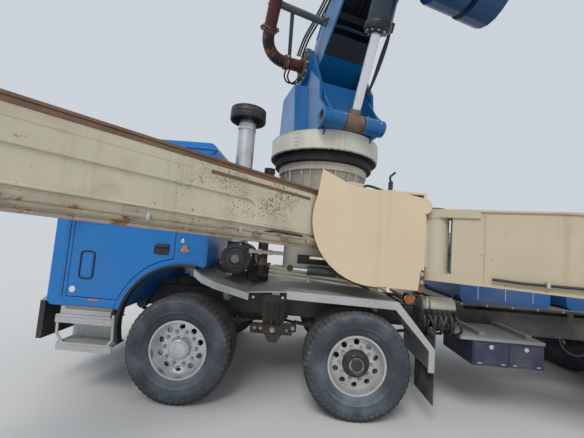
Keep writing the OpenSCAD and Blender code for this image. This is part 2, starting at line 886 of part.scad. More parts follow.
module rear_leg(s) {
    color("wheat")
        side(s)
            translate([rear_pivot_x, rear_pivot_y, rear_leg_z])
                rotate([0, 0, 180 - rear_leg_deg]) {
                    // Beam, tapering towards the jack
                    translate([0, 130, 0])
                        rotate([90, 0, 0])
                            difference() {
                                linear_extrude(260)
                                    polygon([[165, 0], [1200, 0], [rear_leg_len - 100, 160],
                                        [rear_leg_len - 100, rear_leg_h - 130],
                                        [1000, rear_leg_h], [165, rear_leg_h]]);
                                translate([0, 0, 14])
                                    linear_extrude(232)
                                        polygon([[185, 16], [1200, 16], [rear_leg_len - 130, 176],
                                            [rear_leg_len - 130, rear_leg_h - 146],
                                            [1000, rear_leg_h - 16], [185, rear_leg_h - 16]]);
                            }
                    // Lugs above and below the barrel with the pin
                    for (z = [0, rear_leg_h - 84])
                        translate([0, 0, z])
                            linear_extrude(84) {
                                circle(r = 150);
                                translate([0, -150])
                                    square([400, 300]);
                            }
                    cylinder(r = 60 - run_gap, h = rear_leg_h);
                    translate([rear_leg_len - 120, 0, 160])
                        jack_head(rear_leg_h - 290, 740);
                }
}

module rear_jack(s) {
    a = 180 - rear_leg_deg;
    color("silver")
        side(s)
            translate([rear_pivot_x + (rear_leg_len + 60) * cos(a),
                rear_pivot_y + (rear_leg_len + 60) * sin(a), 0])
                jack(rear_leg_z + 250);
}

module pump_unit() {
    color("dodgerblue")
        for (y = [-170, 170])
            bar([-7231, y, 860], [-5950, y, 890], 125);
    color("gray")
        for (y = [-170, 170])
            bar([-5950, y, 890], [-4150, y, 940], 70);
    color("dimgray") {
        block([-6010, -frame_w / 2 + rail_t, 800], [-5900, frame_w / 2 - rail_t, 1020]);
        block([-4260, -frame_w / 2 + rail_t, 840], [-4200, frame_w / 2 - rail_t, 1020]);
    }
}

module hopper() {
    x0 = -hopper_back;
    color("dodgerblue")
        difference() {
            union() {
                hull() {
                    block([x0, -hopper_w / 2, hopper_top - 20], [x0 + 1150, hopper_w / 2, hopper_top]);
                    block([x0 + 180, -hopper_w / 2 + 250, 560], [x0 + 900, hopper_w / 2 - 250, 580]);
                }
                // Sockets of the pump's cylinders, the pipe's outlet and the arms to the rails
                for (y = [-170, 170])
                    bar([x0 + 700, y, 860], [x0 + 1064, y, 860], 129);
                bar([x0 + 700, line_y, line_z], [x0 + 960, line_y, line_z], line_r + 25);
                for (y = [-frame_w / 2 + 10, frame_w / 2 - 60])
                    block([x0 + 700, y, 820], [frame_back, y + 50, 1020]);
            }
            hull() {
                block([x0 + 12, -hopper_w / 2 + 12, hopper_top - 8],
                    [x0 + 1138, hopper_w / 2 - 12, hopper_top + 10]);
                block([x0 + 192, -hopper_w / 2 + 262, 590], [x0 + 888, hopper_w / 2 - 262, 600]);
            }
        }
}

module hopper_grate() {
    x0 = -hopper_back;
    color("dimgray") {
        for (y = [-600:150:600])
            block([x0 + 60, y - 5, hopper_top + 6], [x0 + 1090, y + 5, hopper_top + 30]);
        for (x = [60, 400, 740, 1080])
            block([x0 + x, -640, hopper_top + 6], [x0 + x + 12, 640, hopper_top + 30]);
    }
}

module agitator() {
    xc = -hopper_back + 540;
    color("gray") {
        bar_y(xc, 1050, 40, -470, 470);
        for (y = [-330, -110, 110, 330])
            block([xc - 200, y - 8, 1000], [xc + 200, y + 8, 1100]);
    }
}

module delivery_line() {
    color("firebrick") {
        bar([-hopper_back + 960, line_y, line_z], [slew_x, line_y, line_z], line_r);
        bar([slew_x - 110, line_y, line_z], [slew_x + 90, line_y, line_z], line_r + 14);
        bar([slew_x, line_y, line_z], [slew_x, line_y, frame_top + 0.7], line_r);
    }
}

// Boom frame: x towards the boom's direction, y to its left, turning on the slewing axis
module in_turret() {
    translate([slew_x, 0, 0])
        rotate([0, 0, slew_deg])
            children();
}

// First section's own frame: x along it from the foot pin, z square to it
module in_boom() {
    in_turret()
        translate([foot_ahead, 0, foot_z])
            rotate([0, -boom_deg, 0])
                children();
}

module turret() {
    in_turret()
        color("dodgerblue") {
            translate([0, 0, 2932])
                cylinder(r = 640, h = 60, $fn = 72);
            difference() {
                union() {
                    both_sides()
                        slab(362, 402)
                            polygon(concat([[-560, 2990], [600, 2990], [640, 3156]],
                                arc([lift_pin_u, lift_pin_z], 90, -90, 40, 6),
                                [[640, 3560], [610, 3800]], arc([foot_ahead, foot_z],
                                    240, 20, 190, 8), [[-420, 3800]]));
                    both_sides()
                        hull() {
                            block([-400, 400, 2990], [400, 610, 3000]);
                            block([-300, 400, 3890], [230, 610, 3900]);
                        }
                    both_sides()
                        bar_y(foot_ahead, foot_z, 252, 396, 440);
                    block([450, -370, 2990], [474, 370, 3870]);
                    block([-500, -370, 2990], [-476, 370, 3600]);
                    both_sides()
                        bar_y(lift_pin_u, lift_pin_z, 105, 130, 420);
                    both_sides()
                        bar_y(foot_ahead, foot_z, 170, 330, 470);
                }
                bar_y(foot_ahead, foot_z, 110, -480, 480);
                bar_y(lift_pin_u, lift_pin_z, 62, -430, 430);
            }
        }
}

lift_collar = 1000;
lift_base = [lift_pin_u, lift_pin_z];
lift_head = [foot_ahead, foot_z] + [lift_end[0] * cos(boom_deg) - lift_end[1] * sin(boom_deg),
    lift_end[0] * sin(boom_deg) + lift_end[1] * cos(boom_deg)];
lift_len = norm(lift_head - lift_base);
lift_angle = atan2(lift_head[1] - lift_base[1], lift_head[0] - lift_base[0]);

// Lift cylinder's frame: x from the turret's pin to the boom's
module in_lift() {
    in_turret()
        translate([lift_base[0], 0, lift_base[1]])
            rotate([0, -lift_angle, 0])
                children();
}

module lift_rod() {
    color("silver")
        in_lift() {
            rotate([0, 90, 0])
                cylinder(r = 56, h = 2080);
            difference() {
                bar_y(0, 0, 100, -115, 115);
                bar_y(0, 0, 62, -120, 120);
            }
        }
}

module lift_barrel() {
    color("midnightblue")
        in_lift()
            difference() {
                union() {
                    translate([lift_collar, 0, 0])
                        rotate([0, 90, 0])
                            cylinder(r = 140, h = lift_len - lift_collar);
                    translate([lift_collar, 0, 0])
                        rotate([0, 90, 0])
                            cylinder(r = 150, h = 70);
                    bar_y(lift_len, 0, 125, -115, 115);
                }
                translate([lift_collar - 10, 0, 0])
                    rotate([0, 90, 0])
                        cylinder(r = 62, h = lift_len - lift_collar - 110);
                bar_y(lift_len, 0, 50, -150, 150);
            }
}

module boom_1() {
    in_boom()
        color("dodgerblue") {
            difference() {
                slab(-boom_w / 2, boom_w / 2)
                    polygon(concat(arc([0, 0], 200, 240, 120, 6), [[450, 240], [7600, 200],
                        [boom_len + 60, -430]],
                        arc(tip_pin, 220, 20, -160, 8), [[8250, -640], [7900, -450], [3300, -520],
                            [1700, -560], [1150, -330], [300, -270]]));
                slab(-boom_w / 2 + 14, boom_w / 2 - 14)
                    polygon([[260, -200], [260, 222], [460, 226], [7590, 186], [8560, -420],
                        [8400, -650], [7900, -430], [3300, -500],
                        [3300, -800], [560, -800], [560, -240]]);
                bar_y(0, 0, 111, -boom_w, boom_w);
                bar_y(tip_pin[0], tip_pin[1], boom_pin_r, -boom_w, boom_w);
            }
            difference() {
                bar_y(0, 0, 180, -boom_w / 2, boom_w / 2);
                bar_y(0, 0, 111, -boom_w, boom_w);
            }
            difference() {
                bar_y(tip_pin[0], tip_pin[1], 130, -boom_w / 2, boom_w / 2);
                bar_y(tip_pin[0], tip_pin[1], boom_pin_r, -boom_w, boom_w);
            }
            // Pin of the lift cylinder's head
            bar_y(lift_end[0], lift_end[1], 50 - run_gap, -boom_w / 2, boom_w / 2);
            // Crosspieces in the open belly
            for (x = [700, 1300])
                block([x, -boom_w / 2 + 10, -20], [x + 80, boom_w / 2 - 10, 60]);
            // Foot pin as two stubs in the turret's cheeks
            difference() {
                bar_y(0, 0, 109.9, -475, 475);
                bar_y(0, 0, 80, -480, 480);
            }
            // Pin of the second section's cylinder
            bar_y(fold2[0][0], fold2[0][1], 30, -490, -boom_w / 2);
        }
}

// Hollow arm between a root pin and an end pin, x away from its root
module arm(len, h0, h1, y, w, end_r) {
    difference() {
        slab(y - w / 2, y + w / 2)
            polygon(concat(arc([0, 0], h0 / 2, 270, 90, 8), arc([len, 0], end_r, 90, -90, 8)));
        slab(y - w / 2 + 10, y + w / 2 - 10)
            polygon([[h0 / 2 + 60, -h0 / 2 + 12], [h0 / 2 + 60, h0 / 2 - 12],
                [len - end_r - 60, h1 / 2 - 14], [len - end_r - 60, -h1 / 2 + 14]]);
    }
}

module boom_2() {
    in_boom()
        translate([tip_pin[0], 0, tip_pin[1]])
            mirror([1, 0, 0])
                color("dodgerblue") {
                    difference() {
                        arm(arm2_len, 2 * arm_half, 400, arm2_y, arm2_w, 210);
                        bar_y(arm2_len, 0, boom_pin_r, 0, 2000);
                    }
                    bar_y(0, 0, boom_pin_r - run_gap, -boom_w / 2 - 90, arm2_y);
                    // Crank of the folding cylinder
                    slab(-boom_w / 2 - 88, -boom_w / 2 - 40)
                        hull() {
                            circle(r = 110);
                            translate([344, 241])
                                circle(r = 60);
                        }
                }
}

module boom_3() {
    in_boom()
        translate([arm3_root[0], 0, arm3_root[1]])
            color("dodgerblue") {
                difference() {
                    union() {
                        arm(arm3_len, 440, 360, arm3_y, arm3_w, 180);
                        slab(arm3_y - arm3_w / 2, arm3_y + arm3_w / 2)
                            polygon(concat([[arm3_len - 260, 170]], arc([arm3_len, arm4_rise],
                                160, 150, 0, 6), [[arm3_len + 150, 0]]));
                    }
                    slab(arm3_y - arm4_w / 2 - 6, arm3_y + arm4_w / 2 + 6)
                        translate([arm3_len, arm4_rise])
                            circle(r = 340);
                    bar_y(arm3_len, arm4_rise, boom_pin_r, 0, 2000);
                }
                bar_y(0, 0, boom_pin_r - run_gap, arm2_y - arm2_w / 2, arm3_y);
                bar_y(2450, 0, 30, arm3_y + arm3_w / 2, arm3_y + arm3_w / 2 + 120);
                bar_y(arm3_len - 2500, 0, 30, arm3_y + arm3_w / 2, arm3_y + arm3_w / 2 + 120);
            }
}

module boom_4() {
    in_boom()
        translate([arm4_root[0], 0, arm4_root[1]])
            mirror([1, 0, 0])
                color("dodgerblue") {
                    arm(arm4_len, 300, 220, arm3_y, arm4_w, 110);
                    bar_y(0, 0, boom_pin_r - run_gap, arm3_y - arm3_w / 2, arm3_y + arm3_w / 2 + 46);
                    slab(arm3_y + arm3_w / 2 + 6, arm3_y + arm3_w / 2 + 46)
                        hull() {
                            circle(r = 100);
                            translate([311, -218])
                                circle(r = 50);
                        }
                    // End hose's elbow
                    bar_y(arm4_len + 60, 0, 62, arm3_y - 60, arm3_y + 60);
                }
}

// Delivery pipe from the hub along the first section
module boom_pipe() {
    in_boom()
        color("firebrick") {
            bar_y(0, 0, pipe_r, pipe_y + pipe_bend, -482);
            translate([pipe_bend, pipe_y + pipe_bend, 0])
                rotate([0, 0, 180])
                    rotate_extrude(angle = 90)
                        translate([pipe_bend, 0])
                            circle(r = pipe_r);
            bar([pipe_bend, pipe_y, 0], [8400, pipe_y, 0], pipe_r);
            for (x = [590, 2690, 4790, 6890])
                bar([x, -boom_w / 2 - 5, 60], [x + 30, pipe_y + pipe_r - 20, 10], 42);
        }
}

// Folding cylinders: columns are pivot, eye, y of their plane
fold2 = [[5800, -66], [8356, -625], -boom_w / 2 - 145];
fold3 = [[arm3_root[0] + 2450, -fold_drop], [arm3_root[0] + 291, -fold_drop + 244],
    arm3_y + arm3_w / 2 + 90];
fold4 = [[arm3_root[0] + arm3_len - 2500, -fold_drop], [arm4_root[0] - 311, arm4_root[1] - 218],
    arm3_y + arm3_w / 2 + 90];

module in_fold(c) {
    d = c[1] - c[0];
    in_boom()
        translate([c[0][0], c[2], c[0][1]])
            rotate([0, -atan2(d[1], d[0]), 0])
                children();
}

module fold_barrel(c) {
    len = norm(c[1] - c[0]);
    color("midnightblue")
        in_fold(c)
            difference() {
                union() {
                    rotate([0, 90, 0])
                        cylinder(r = 62, h = len - 260);
                    bar_y(0, 0, 60, -32, 32);
                }
                translate([len * 0.25, 0, 0])
                    rotate([0, 90, 0])
                        cylinder(r = 30, h = len);
                bar_y(0, 0, 30.1, -70, 70);
            }
}

module fold_rod(c) {
    len = norm(c[1] - c[0]);
    color("silver")
        in_fold(c) {
            translate([len * 0.25 + 60, 0, 0])
                rotate([0, 90, 0])
                    cylinder(r = 27, h = len * 0.75 - 100);
            difference() {
                bar_y(len, 0, 55, -30, 30);
                bar_y(len, 0, 30, -35, 35);
            }
        }
}

place() frame();
place() front_axles();
place() rear_axles();
place() engine();
place() cab_shell();
place() cab_glass();
place() cab_interior();
place() bumper_placed();  // front_bumper
place() steps_and_mudguards();
place() lamps();
place() mirrors();
place() stacks();
place() air_cleaner();
place() side_boxes();
place() valve_bank();
place() rear_deck();
place() pedestal();
place() leg_housings();
place() pump_unit();
place() hopper();
place() delivery_line();
place() door(1);  // door_left
place() door(-1);  // door_right
place() knuckle(0, 1);  // knuckle_1l
place() knuckle(0, -1);  // knuckle_1r
place() knuckle(1, 1);  // knuckle_2l
place() knuckle(1, -1);  // knuckle_2r
place() front_wheel(0, 1);  // wheel_1l
place() front_wheel(0, -1);  // wheel_1r
place() front_wheel(1, 1);  // wheel_2l
place() front_wheel(1, -1);  // wheel_2r
place() twin_wheel(2, 1);  // twin_3l
place() twin_wheel(2, -1);  // twin_3r
place() twin_wheel(3, 1);  // twin_4l
place() twin_wheel(3, -1);  // twin_4r
place() turret();
place() lift_barrel();
place() lift_rod();
place() boom_1();
place() boom_2();
place() boom_3();
place() boom_4();
place() boom_pipe();
place() fold_barrel(fold2);  // fold2_barrel
place() fold_rod(fold2);  // fold2_rod
place() fold_barrel(fold3);  // fold3_barrel
place() fold_rod(fold3);  // fold3_rod
place() fold_barrel(fold4);  // fold4_barrel
place() fold_rod(fold4);  // fold4_rod
place() front_leg(1);  // front_leg_left
place() front_leg(-1);  // front_leg_right
place() rear_leg(1);  // rear_leg_left
place() rear_leg(-1);  // rear_leg_right
place() front_jack(1);  // front_jack_left
place() front_jack(-1);  // front_jack_right
place() rear_jack(1);  // rear_jack_left
place() rear_jack(-1);  // rear_jack_right
place() hopper_grate();
place() agitator();
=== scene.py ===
import random
from math import atan2, cos, hypot, pi, radians, sin, tan

import bpy
from mathutils import Matrix, Vector


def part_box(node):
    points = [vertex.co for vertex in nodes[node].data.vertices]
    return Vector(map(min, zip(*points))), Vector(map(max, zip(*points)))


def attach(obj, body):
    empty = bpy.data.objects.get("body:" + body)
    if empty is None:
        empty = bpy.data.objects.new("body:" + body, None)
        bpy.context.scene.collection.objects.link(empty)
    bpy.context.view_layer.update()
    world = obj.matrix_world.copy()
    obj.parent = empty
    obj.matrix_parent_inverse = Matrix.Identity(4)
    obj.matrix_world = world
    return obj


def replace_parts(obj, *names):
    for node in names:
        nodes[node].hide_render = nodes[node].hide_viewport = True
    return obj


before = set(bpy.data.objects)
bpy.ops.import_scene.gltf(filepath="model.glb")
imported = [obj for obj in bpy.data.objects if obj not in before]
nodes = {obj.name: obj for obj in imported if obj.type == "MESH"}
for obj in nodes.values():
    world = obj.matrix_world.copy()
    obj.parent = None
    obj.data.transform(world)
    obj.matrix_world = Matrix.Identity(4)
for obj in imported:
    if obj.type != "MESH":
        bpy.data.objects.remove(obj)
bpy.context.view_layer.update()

# The view is from the truck's left, level with the cab's window sill and a little ahead of the
# second wheel, through a wide lens that is turned slightly up and over.
second_wheel = sum(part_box("wheel_2l"), Vector()) / 2
axle_2 = Vector((second_wheel.x, sum(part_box("frame"), Vector()).y / 2, 0))
stand = axle_2 + Vector((0.711, 4.138, 1.760))
turned = Matrix.Rotation(pi + radians(1.16), 3, "Z") @ Matrix.Rotation(pi / 2 + radians(4.20), 3, "X")
focal_px, picture_px = 280, 584
camera_data = bpy.data.cameras.new("photo_camera")
camera_data.sensor_width = 36
camera_data.lens = focal_px / picture_px * camera_data.sensor_width
camera_data.clip_end = 300
camera = bpy.data.objects.new("photo_camera", camera_data)
camera.matrix_world = Matrix.Translation(stand) @ (turned @ Matrix.Rotation(radians(4.56), 3, "Z")).to_4x4()
bpy.context.collection.objects.link(camera)
bpy.context.scene.camera = camera

# Plain pale studio floor under a bright, even sky, with one broad soft lamp high on the left.
floor_mesh = bpy.data.meshes.new("floor")
floor_half = 90
floor_corners = [(x * floor_half, y * floor_half, 0) for x, y in ((-1, -1), (1, -1), (1, 1), (-1, 1))]
floor_mesh.from_pydata(floor_corners, [], [(0, 1, 2, 3)])
floor = bpy.data.objects.new("floor", floor_mesh)
bpy.context.collection.objects.link(floor)
floor_paint = bpy.data.materials.new("floor")
floor_paint.use_nodes = True
floor_shader = floor_paint.node_tree.nodes["Principled BSDF"]
floor_shader.inputs["Base Color"].default_value = (0.62, 0.61, 0.59, 1)
floor_shader.inputs["Roughness"].default_value = 0.9
floor_mesh.materials.append(floor_paint)
sky = bpy.data.worlds.new("sky")
sky.use_nodes = True
sky.node_tree.nodes["Background"].inputs["Color"].default_value = (0.80, 0.86, 0.93, 1)
sky.node_tree.nodes["Background"].inputs["Strength"].default_value = 0.75
bpy.context.scene.world = sky
bpy.context.scene.view_settings.view_transform = "Standard"
lamp_data = bpy.data.lights.new("soft_lamp", "SUN")
lamp_data.energy = 1.6
lamp_data.angle = radians(25)
lamp = bpy.data.objects.new("soft_lamp", lamp_data)
lamp.rotation_euler = (radians(-38), radians(14), 0)
bpy.context.collection.objects.link(lamp)


# ---------------------------------------------------------------- Chassis: rails, axles, knuckles
# Pressed steel rails, cast hangers and axle beams in dark grey chassis paint. They are riveted and
# bolted together, and road dust settles on every upward face.
def wire(tree, kind, inputs=None, **settings):
    """Adds a shader node, sets its options, and links or sets its inputs."""
    made = tree.nodes.new(kind)
    for option, value in settings.items():
        setattr(made, option, value)
    for socket, value in (inputs or {}).items():
        if isinstance(value, bpy.types.NodeSocket):
            tree.links.new(value, made.inputs[socket])
        else:
            made.inputs[socket].default_value = value
    return made


def effect(name, inputs, outputs):
    """Starts a shader node group with named sockets and returns its tree, inputs and outputs."""
    tree = bpy.data.node_groups.new(name, "ShaderNodeTree")
    for socket, kind, value in inputs:
        made = tree.interface.new_socket(socket, in_out="INPUT", socket_type="NodeSocket" + kind)
        made.default_value = value
    for socket, kind in outputs:
        tree.interface.new_socket(socket, in_out="OUTPUT", socket_type="NodeSocket" + kind)
    return tree, tree.nodes.new("NodeGroupInput"), tree.nodes.new("NodeGroupOutput")


def send(tree, out, **values):
    """Links values to a node group's outputs."""
    for socket, value in values.items():
        tree.links.new(value, out.inputs[socket])


def blend_colour(tree, share, first, second):
    return wire(tree, "ShaderNodeMix", {0: share, 6: first, 7: second}, data_type="RGBA").outputs[2]


def figure(tree, how, first, second, third=None):
    inputs = {0: first, 1: second} if third is None else {0: first, 1: second, 2: third}
    return wire(tree, "ShaderNodeMath", inputs, operation=how).outputs[0]


def ramp(tree, value, low, high):
    return wire(tree, "ShaderNodeMapRange", {0: value, 1: low, 2: high, 3: 0.0, 4: 1.0},
        interpolation_type="SMOOTHSTEP").outputs[0]


def between(tree, value, low, high):
    return wire(tree, "ShaderNodeMapRange", {0: value, 1: low, 2: high, 3: 0.0, 4: 1.0}).outputs[0]


def own_place(tree):
    return wire(tree, "ShaderNodeTexCoord").outputs["Object"]


def noise(tree, place, scale, detail=3.0, stretch=None):
    if stretch:
        place = wire(tree, "ShaderNodeMapping", {"Vector": place, "Scale": stretch}).outputs[0]
    return wire(tree, "ShaderNodeTexNoise", {"Vector": place, "Scale": scale, "Detail": detail}).outputs[0]


def road_dust():
    """Dust that lies thickest on upward faces, with its roughness and height."""
    tree, given, out = effect("road_dust", [("Paint", "Color", (0.1, 0.1, 0.1, 1)),
        ("Dust", "Color", (0.32, 0.28, 0.22, 1)), ("Amount", "Float", 0.5), ("Size", "Float", 3.0),
        ("Gloss", "Float", 0.4)], [("Color", "Color"), ("Roughness", "Float"), ("Height", "Float")])
    place = own_place(tree)
    up = wire(tree, "ShaderNodeSeparateXYZ", {0: wire(tree, "ShaderNodeNewGeometry").outputs["Normal"]}).outputs[2]
    cloud = noise(tree, place, given.outputs["Size"], 5.0)
    grain = noise(tree, place, 160.0, 2.0)
    lies = figure(tree, "MULTIPLY_ADD", up, 0.35, cloud)
    share = figure(tree, "MULTIPLY", ramp(tree, lies, 0.35, 0.85), given.outputs["Amount"])
    share = figure(tree, "MULTIPLY", share, figure(tree, "MULTIPLY_ADD", grain, 0.7, 0.6))
    share = figure(tree, "MINIMUM", share, 1.0)
    send(tree, out, Color=blend_colour(tree, share, given.outputs["Paint"], given.outputs["Dust"]),
        Roughness=figure(tree, "MULTIPLY_ADD", share, 0.5, given.outputs["Gloss"]),
        Height=figure(tree, "ADD", grain, share))
    return tree


dust_tree = road_dust()


def chips_and_rust():
    """Chipped paint with rust in the chips."""
    tree, given, out = effect("chips_and_rust", [("Paint", "Color", (0.1, 0.1, 0.1, 1)),
        ("Rust", "Color", (0.16, 0.06, 0.025, 1)), ("Amount", "Float", 0.5),
        ("Size", "Float", 9.0)], [("Color", "Color")])
    place = own_place(tree)
    patch = noise(tree, place, given.outputs["Size"], 6.0)
    fine = noise(tree, place, 70.0, 4.0)
    low = figure(tree, "SUBTRACT", 0.78, figure(tree, "MULTIPLY", given.outputs["Amount"], 0.3))
    share = between(tree, figure(tree, "MULTIPLY_ADD", fine, 0.35, figure(tree, "MULTIPLY", patch, 0.75)),
        low, figure(tree, "ADD", low, 0.06))
    deep = blend_colour(tree, fine, given.outputs["Rust"], (0.30, 0.13, 0.05, 1))
    send(tree, out, Color=blend_colour(tree, share, given.outputs["Paint"], deep))
    return tree


rust_tree = chips_and_rust()


def weathered(name, paint, gloss, dust, dirt, rust, size, metal=0.0, relief=0.15,
        rust_tint=(0.16, 0.06, 0.025, 1), coat=0.0):
    """Painted steel: chips with rust, then road dust, with a fine relief."""
    made = bpy.data.materials.new(name)
    made.use_nodes = True
    tree = made.node_tree
    shader = tree.nodes["Principled BSDF"]
    chipped = {"Paint": (*paint, 1), "Rust": rust_tint, "Amount": rust, "Size": 9.0}
    chips = wire(tree, "ShaderNodeGroup", chipped, node_tree=rust_tree)
    dusty = {"Paint": chips.outputs["Color"], "Dust": (*dust, 1), "Amount": dirt, "Size": size, "Gloss": gloss}
    cover = wire(tree, "ShaderNodeGroup", dusty, node_tree=dust_tree)
    tree.links.new(cover.outputs["Color"], shader.inputs["Base Color"])
    tree.links.new(cover.outputs["Roughness"], shader.inputs["Roughness"])
    bump = wire(tree, "ShaderNodeBump", {"Height": cover.outputs["Height"], "Strength": relief, "Distance": 0.002})
    tree.links.new(bump.outputs[0], shader.inputs["Normal"])
    shader.inputs["Metallic"].default_value = metal
    shader.inputs["Coat Weight"].default_value = coat
    return made


def chips_in(tree):
    return next(n for n in tree.nodes if n.type == "GROUP" and n.node_tree == rust_tree)


def raise_relief(tree, height, share):
    """Adds a height to what a finish's bump already gets, and returns the bump."""
    bump = next(n for n in tree.nodes if n.type == "BUMP")
    old = bump.inputs["Height"].links[0].from_socket
    tree.links.new(figure(tree, "MULTIPLY_ADD", height, share, old), bump.inputs["Height"])
    return bump


def dress(names, *finishes):
    """Gives CAD nodes their finishes."""
    for name in names:
        slots = nodes[name].data.materials
        slots.clear()
        for finish in finishes:
            slots.append(finish)


def finish_faces(name, rule, into=None):
    """Gives each face of a CAD node the finish that the rule picks from its middle and normal."""
    for face in nodes[name].data.polygons:
        middle = into @ face.center if into else face.center - axle_2
        facing = into.to_3x3() @ face.normal if into else face.normal
        face.material_index = rule(middle, facing)


chassis_grey = weathered("chassis_grey", (0.045, 0.05, 0.055), 0.45, (0.24, 0.21, 0.17), 0.9, 0.35, 2.2)
cast_iron = weathered("cast_iron", (0.055, 0.05, 0.045), 0.6, (0.22, 0.18, 0.13), 1.0, 0.6, 5.0)
dress(["frame"], chassis_grey)
dress(["front_axles", "rear_axles", "knuckle_1l", "knuckle_1r", "knuckle_2l", "knuckle_2r"], cast_iron)


class Piece:
    """Collects the parts of one piece and makes its mesh object."""

    def __init__(self, name, body, *finishes):
        self.name, self.body, self.finishes = name, body, finishes
        self.points, self.faces, self.tints = [], [], []

    def part(self, points, faces, tint=0, place=None):
        start = len(self.points)
        flip = place is not None and place.determinant() < 0
        self.points += [(place @ Vector(p)) if place is not None else Vector(p) for p in points]
        for face in faces:
            order = [start + i for i in face]
            self.faces.append(order[::-1] if flip else order)
            self.tints.append(tint)
        return self

    def lathe(self, outline, steps=32, tint=0, place=None):
        """Turns an outline of (radius, along) round the local Y axis."""
        count = len(outline)
        points = [(r * cos(2 * pi * i / steps), y, -r * sin(2 * pi * i / steps))
            for i in range(steps) for r, y in outline]
        faces = [(i * count + j, i * count + j + 1, (i + 1) % steps * count + j + 1, (i + 1) % steps * count + j)
            for i in range(steps) for j in range(count - 1)]
        return self.part(points, faces, tint, place)

    def tube(self, path, radius, steps=10, tint=0, place=None, smooth=0):
        """Sweeps a round section along points, rounded into a flowing line when smooth is set."""
        path = [Vector(p) for p in path]
        if smooth:
            ends = [path[0] * 2 - path[1]] + path + [path[-1] * 2 - path[-2]]
            flowing = []
            for i in range(1, len(ends) - 2):
                a, b, c, d = ends[i - 1:i + 3]
                for k in range(smooth):
                    t = k / smooth
                    flowing.append(0.5 * ((2 * b) + (c - a) * t + (2 * a - 5 * b + 4 * c - d) * t * t
                        + (3 * b - a - 3 * c + d) * t ** 3))
            path = flowing + [path[-1]]
        points, side = [], None
        for i, p in enumerate(path):
            ahead = (path[min(i + 1, len(path) - 1)] - path[max(i - 1, 0)]).normalized()
            if side is None:
                side = ahead.orthogonal().normalized()
            side = (side - ahead * side.dot(ahead)).normalized()
            up = ahead.cross(side)
            points += [p + (side * cos(2 * pi * k / steps) + up * sin(2 * pi * k / steps)) * radius
                for k in range(steps)]
        last = (len(path) - 1) * steps
        faces = [(i * steps + k, i * steps + (k + 1) % steps, (i + 1) * steps + (k + 1) % steps, (i + 1) * steps + k)
            for i in range(len(path) - 1) for k in range(steps)]
        faces += [tuple(range(steps))[::-1], tuple(last + k for k in range(steps))]
        return self.part(points, faces, tint, place)

    def slab(self, outline, thick, tint=0, place=None, ease=0.0):
        """Plate with an outline in local XZ, thick along Y from 0, its edges eased on the far side."""
        n = len(outline)
        levels = [(0.0, 0.0), (thick - ease, 0.0), (thick, ease)] if ease else [(0.0, 0.0), (thick, 0.0)]
        area = sum(outline[i][0] * outline[(i + 1) % n][1] - outline[(i + 1) % n][0] * outline[i][1]
            for i in range(n))
        loop = outline if area > 0 else outline[::-1]
        points = []
        for y, inset in levels:
            for i, (x, z) in enumerate(loop):
                (ax, az), (bx, bz) = loop[i - 1], loop[(i + 1) % n]
                nx, nz = -(bz - az), bx - ax
                size = hypot(nx, nz) or 1
                points.append((x + nx / size * inset, y, z + nz / size * inset))
        faces = []
        for level in range(len(levels) - 1):
            for i in range(n):
                a, b = level * n + i, level * n + (i + 1) % n
                faces.append((a, a + n, b + n, b))
        faces += [tuple(range(n)), tuple(len(points) - n + i for i in range(n))[::-1]]
        return self.part(points, faces, tint, place)

    def block(self, low, high, ease=0.004, tint=0, place=None):
        """Box between two corners with all its edges eased."""
        low, high = Vector(low), Vector(high)
        e = min(ease, min((high - low)) * 0.45)
        points, index = [], {}
        for axis in range(3):
            for sx in (0, 1):
                for sy in (0, 1):
                    for sz in (0, 1):
                        corner = [(low, high)[s][k] for k, s in enumerate((sx, sy, sz))]
                        for k, s in enumerate((sx, sy, sz)):
                            if k != axis:
                                corner[k] += -e if s else e
                        index[(axis, sx, sy, sz)] = len(points)
                        points.append(corner)
        faces = []
        for axis in range(3):
            u, w = (axis + 1) % 3, (axis + 2) % 3
            for s in (0, 1):
                quad = []
                for a, b in ((0, 0), (1, 0), (1, 1), (0, 1)):
                    key = [0, 0, 0]
                    key[axis], key[u], key[w] = s, a, b
                    quad.append(index[(axis, *key)])
                faces.append(quad if s else quad[::-1])
            for su in (0, 1):
                for sw in (0, 1):
                    strip = []
                    for s, side_axis in ((0, u), (1, u), (1, w), (0, w)):
                        key = [0, 0, 0]
                        key[axis], key[u], key[w] = s, su, sw
                        strip.append(index[(side_axis, *key)])
                    faces.append(strip if su == sw else strip[::-1])
        for sx in (0, 1):
            for sy in (0, 1):
                for sz in (0, 1):
                    faces.append([index[(k, sx, sy, sz)] for k in range(3)])
        start = len(self.faces)
        self.part(points, faces, tint, place)
        middle = (low + high) / 2
        middle = place @ middle if place is not None else middle
        for i in range(start, len(self.faces)):
            ring = [self.points[k] for k in self.faces[i]]
            normal = (ring[1] - ring[0]).cross(ring[2] - ring[1])
            if normal.dot(sum(ring, Vector()) / len(ring) - middle) < 0:
                self.faces[i] = self.faces[i][::-1]
        return self

    def nut(self, across, high, tint=0, place=None, stud=0.0):
        """Six-sided nut standing along local Y, with a chamfer, a washer and the stud's end."""
        r = across / 2 / cos(pi / 6)
        self.lathe([(r * 1.35, 0), (r * 1.35, high * 0.12), (r * 1.1, high * 0.12)], 16, tint, place)
        self.lathe([(r, high * 0.1), (r, high * 0.85), (r * 0.85, high), (r * 0.5, high)], 6, tint, place)
        return self.lathe([(r * 0.5, high * 0.8), (r * 0.5, high + stud), (r * 0.4, high + stud + 0.003),
            (tip, high + stud + 0.003)], 8, tint, place)

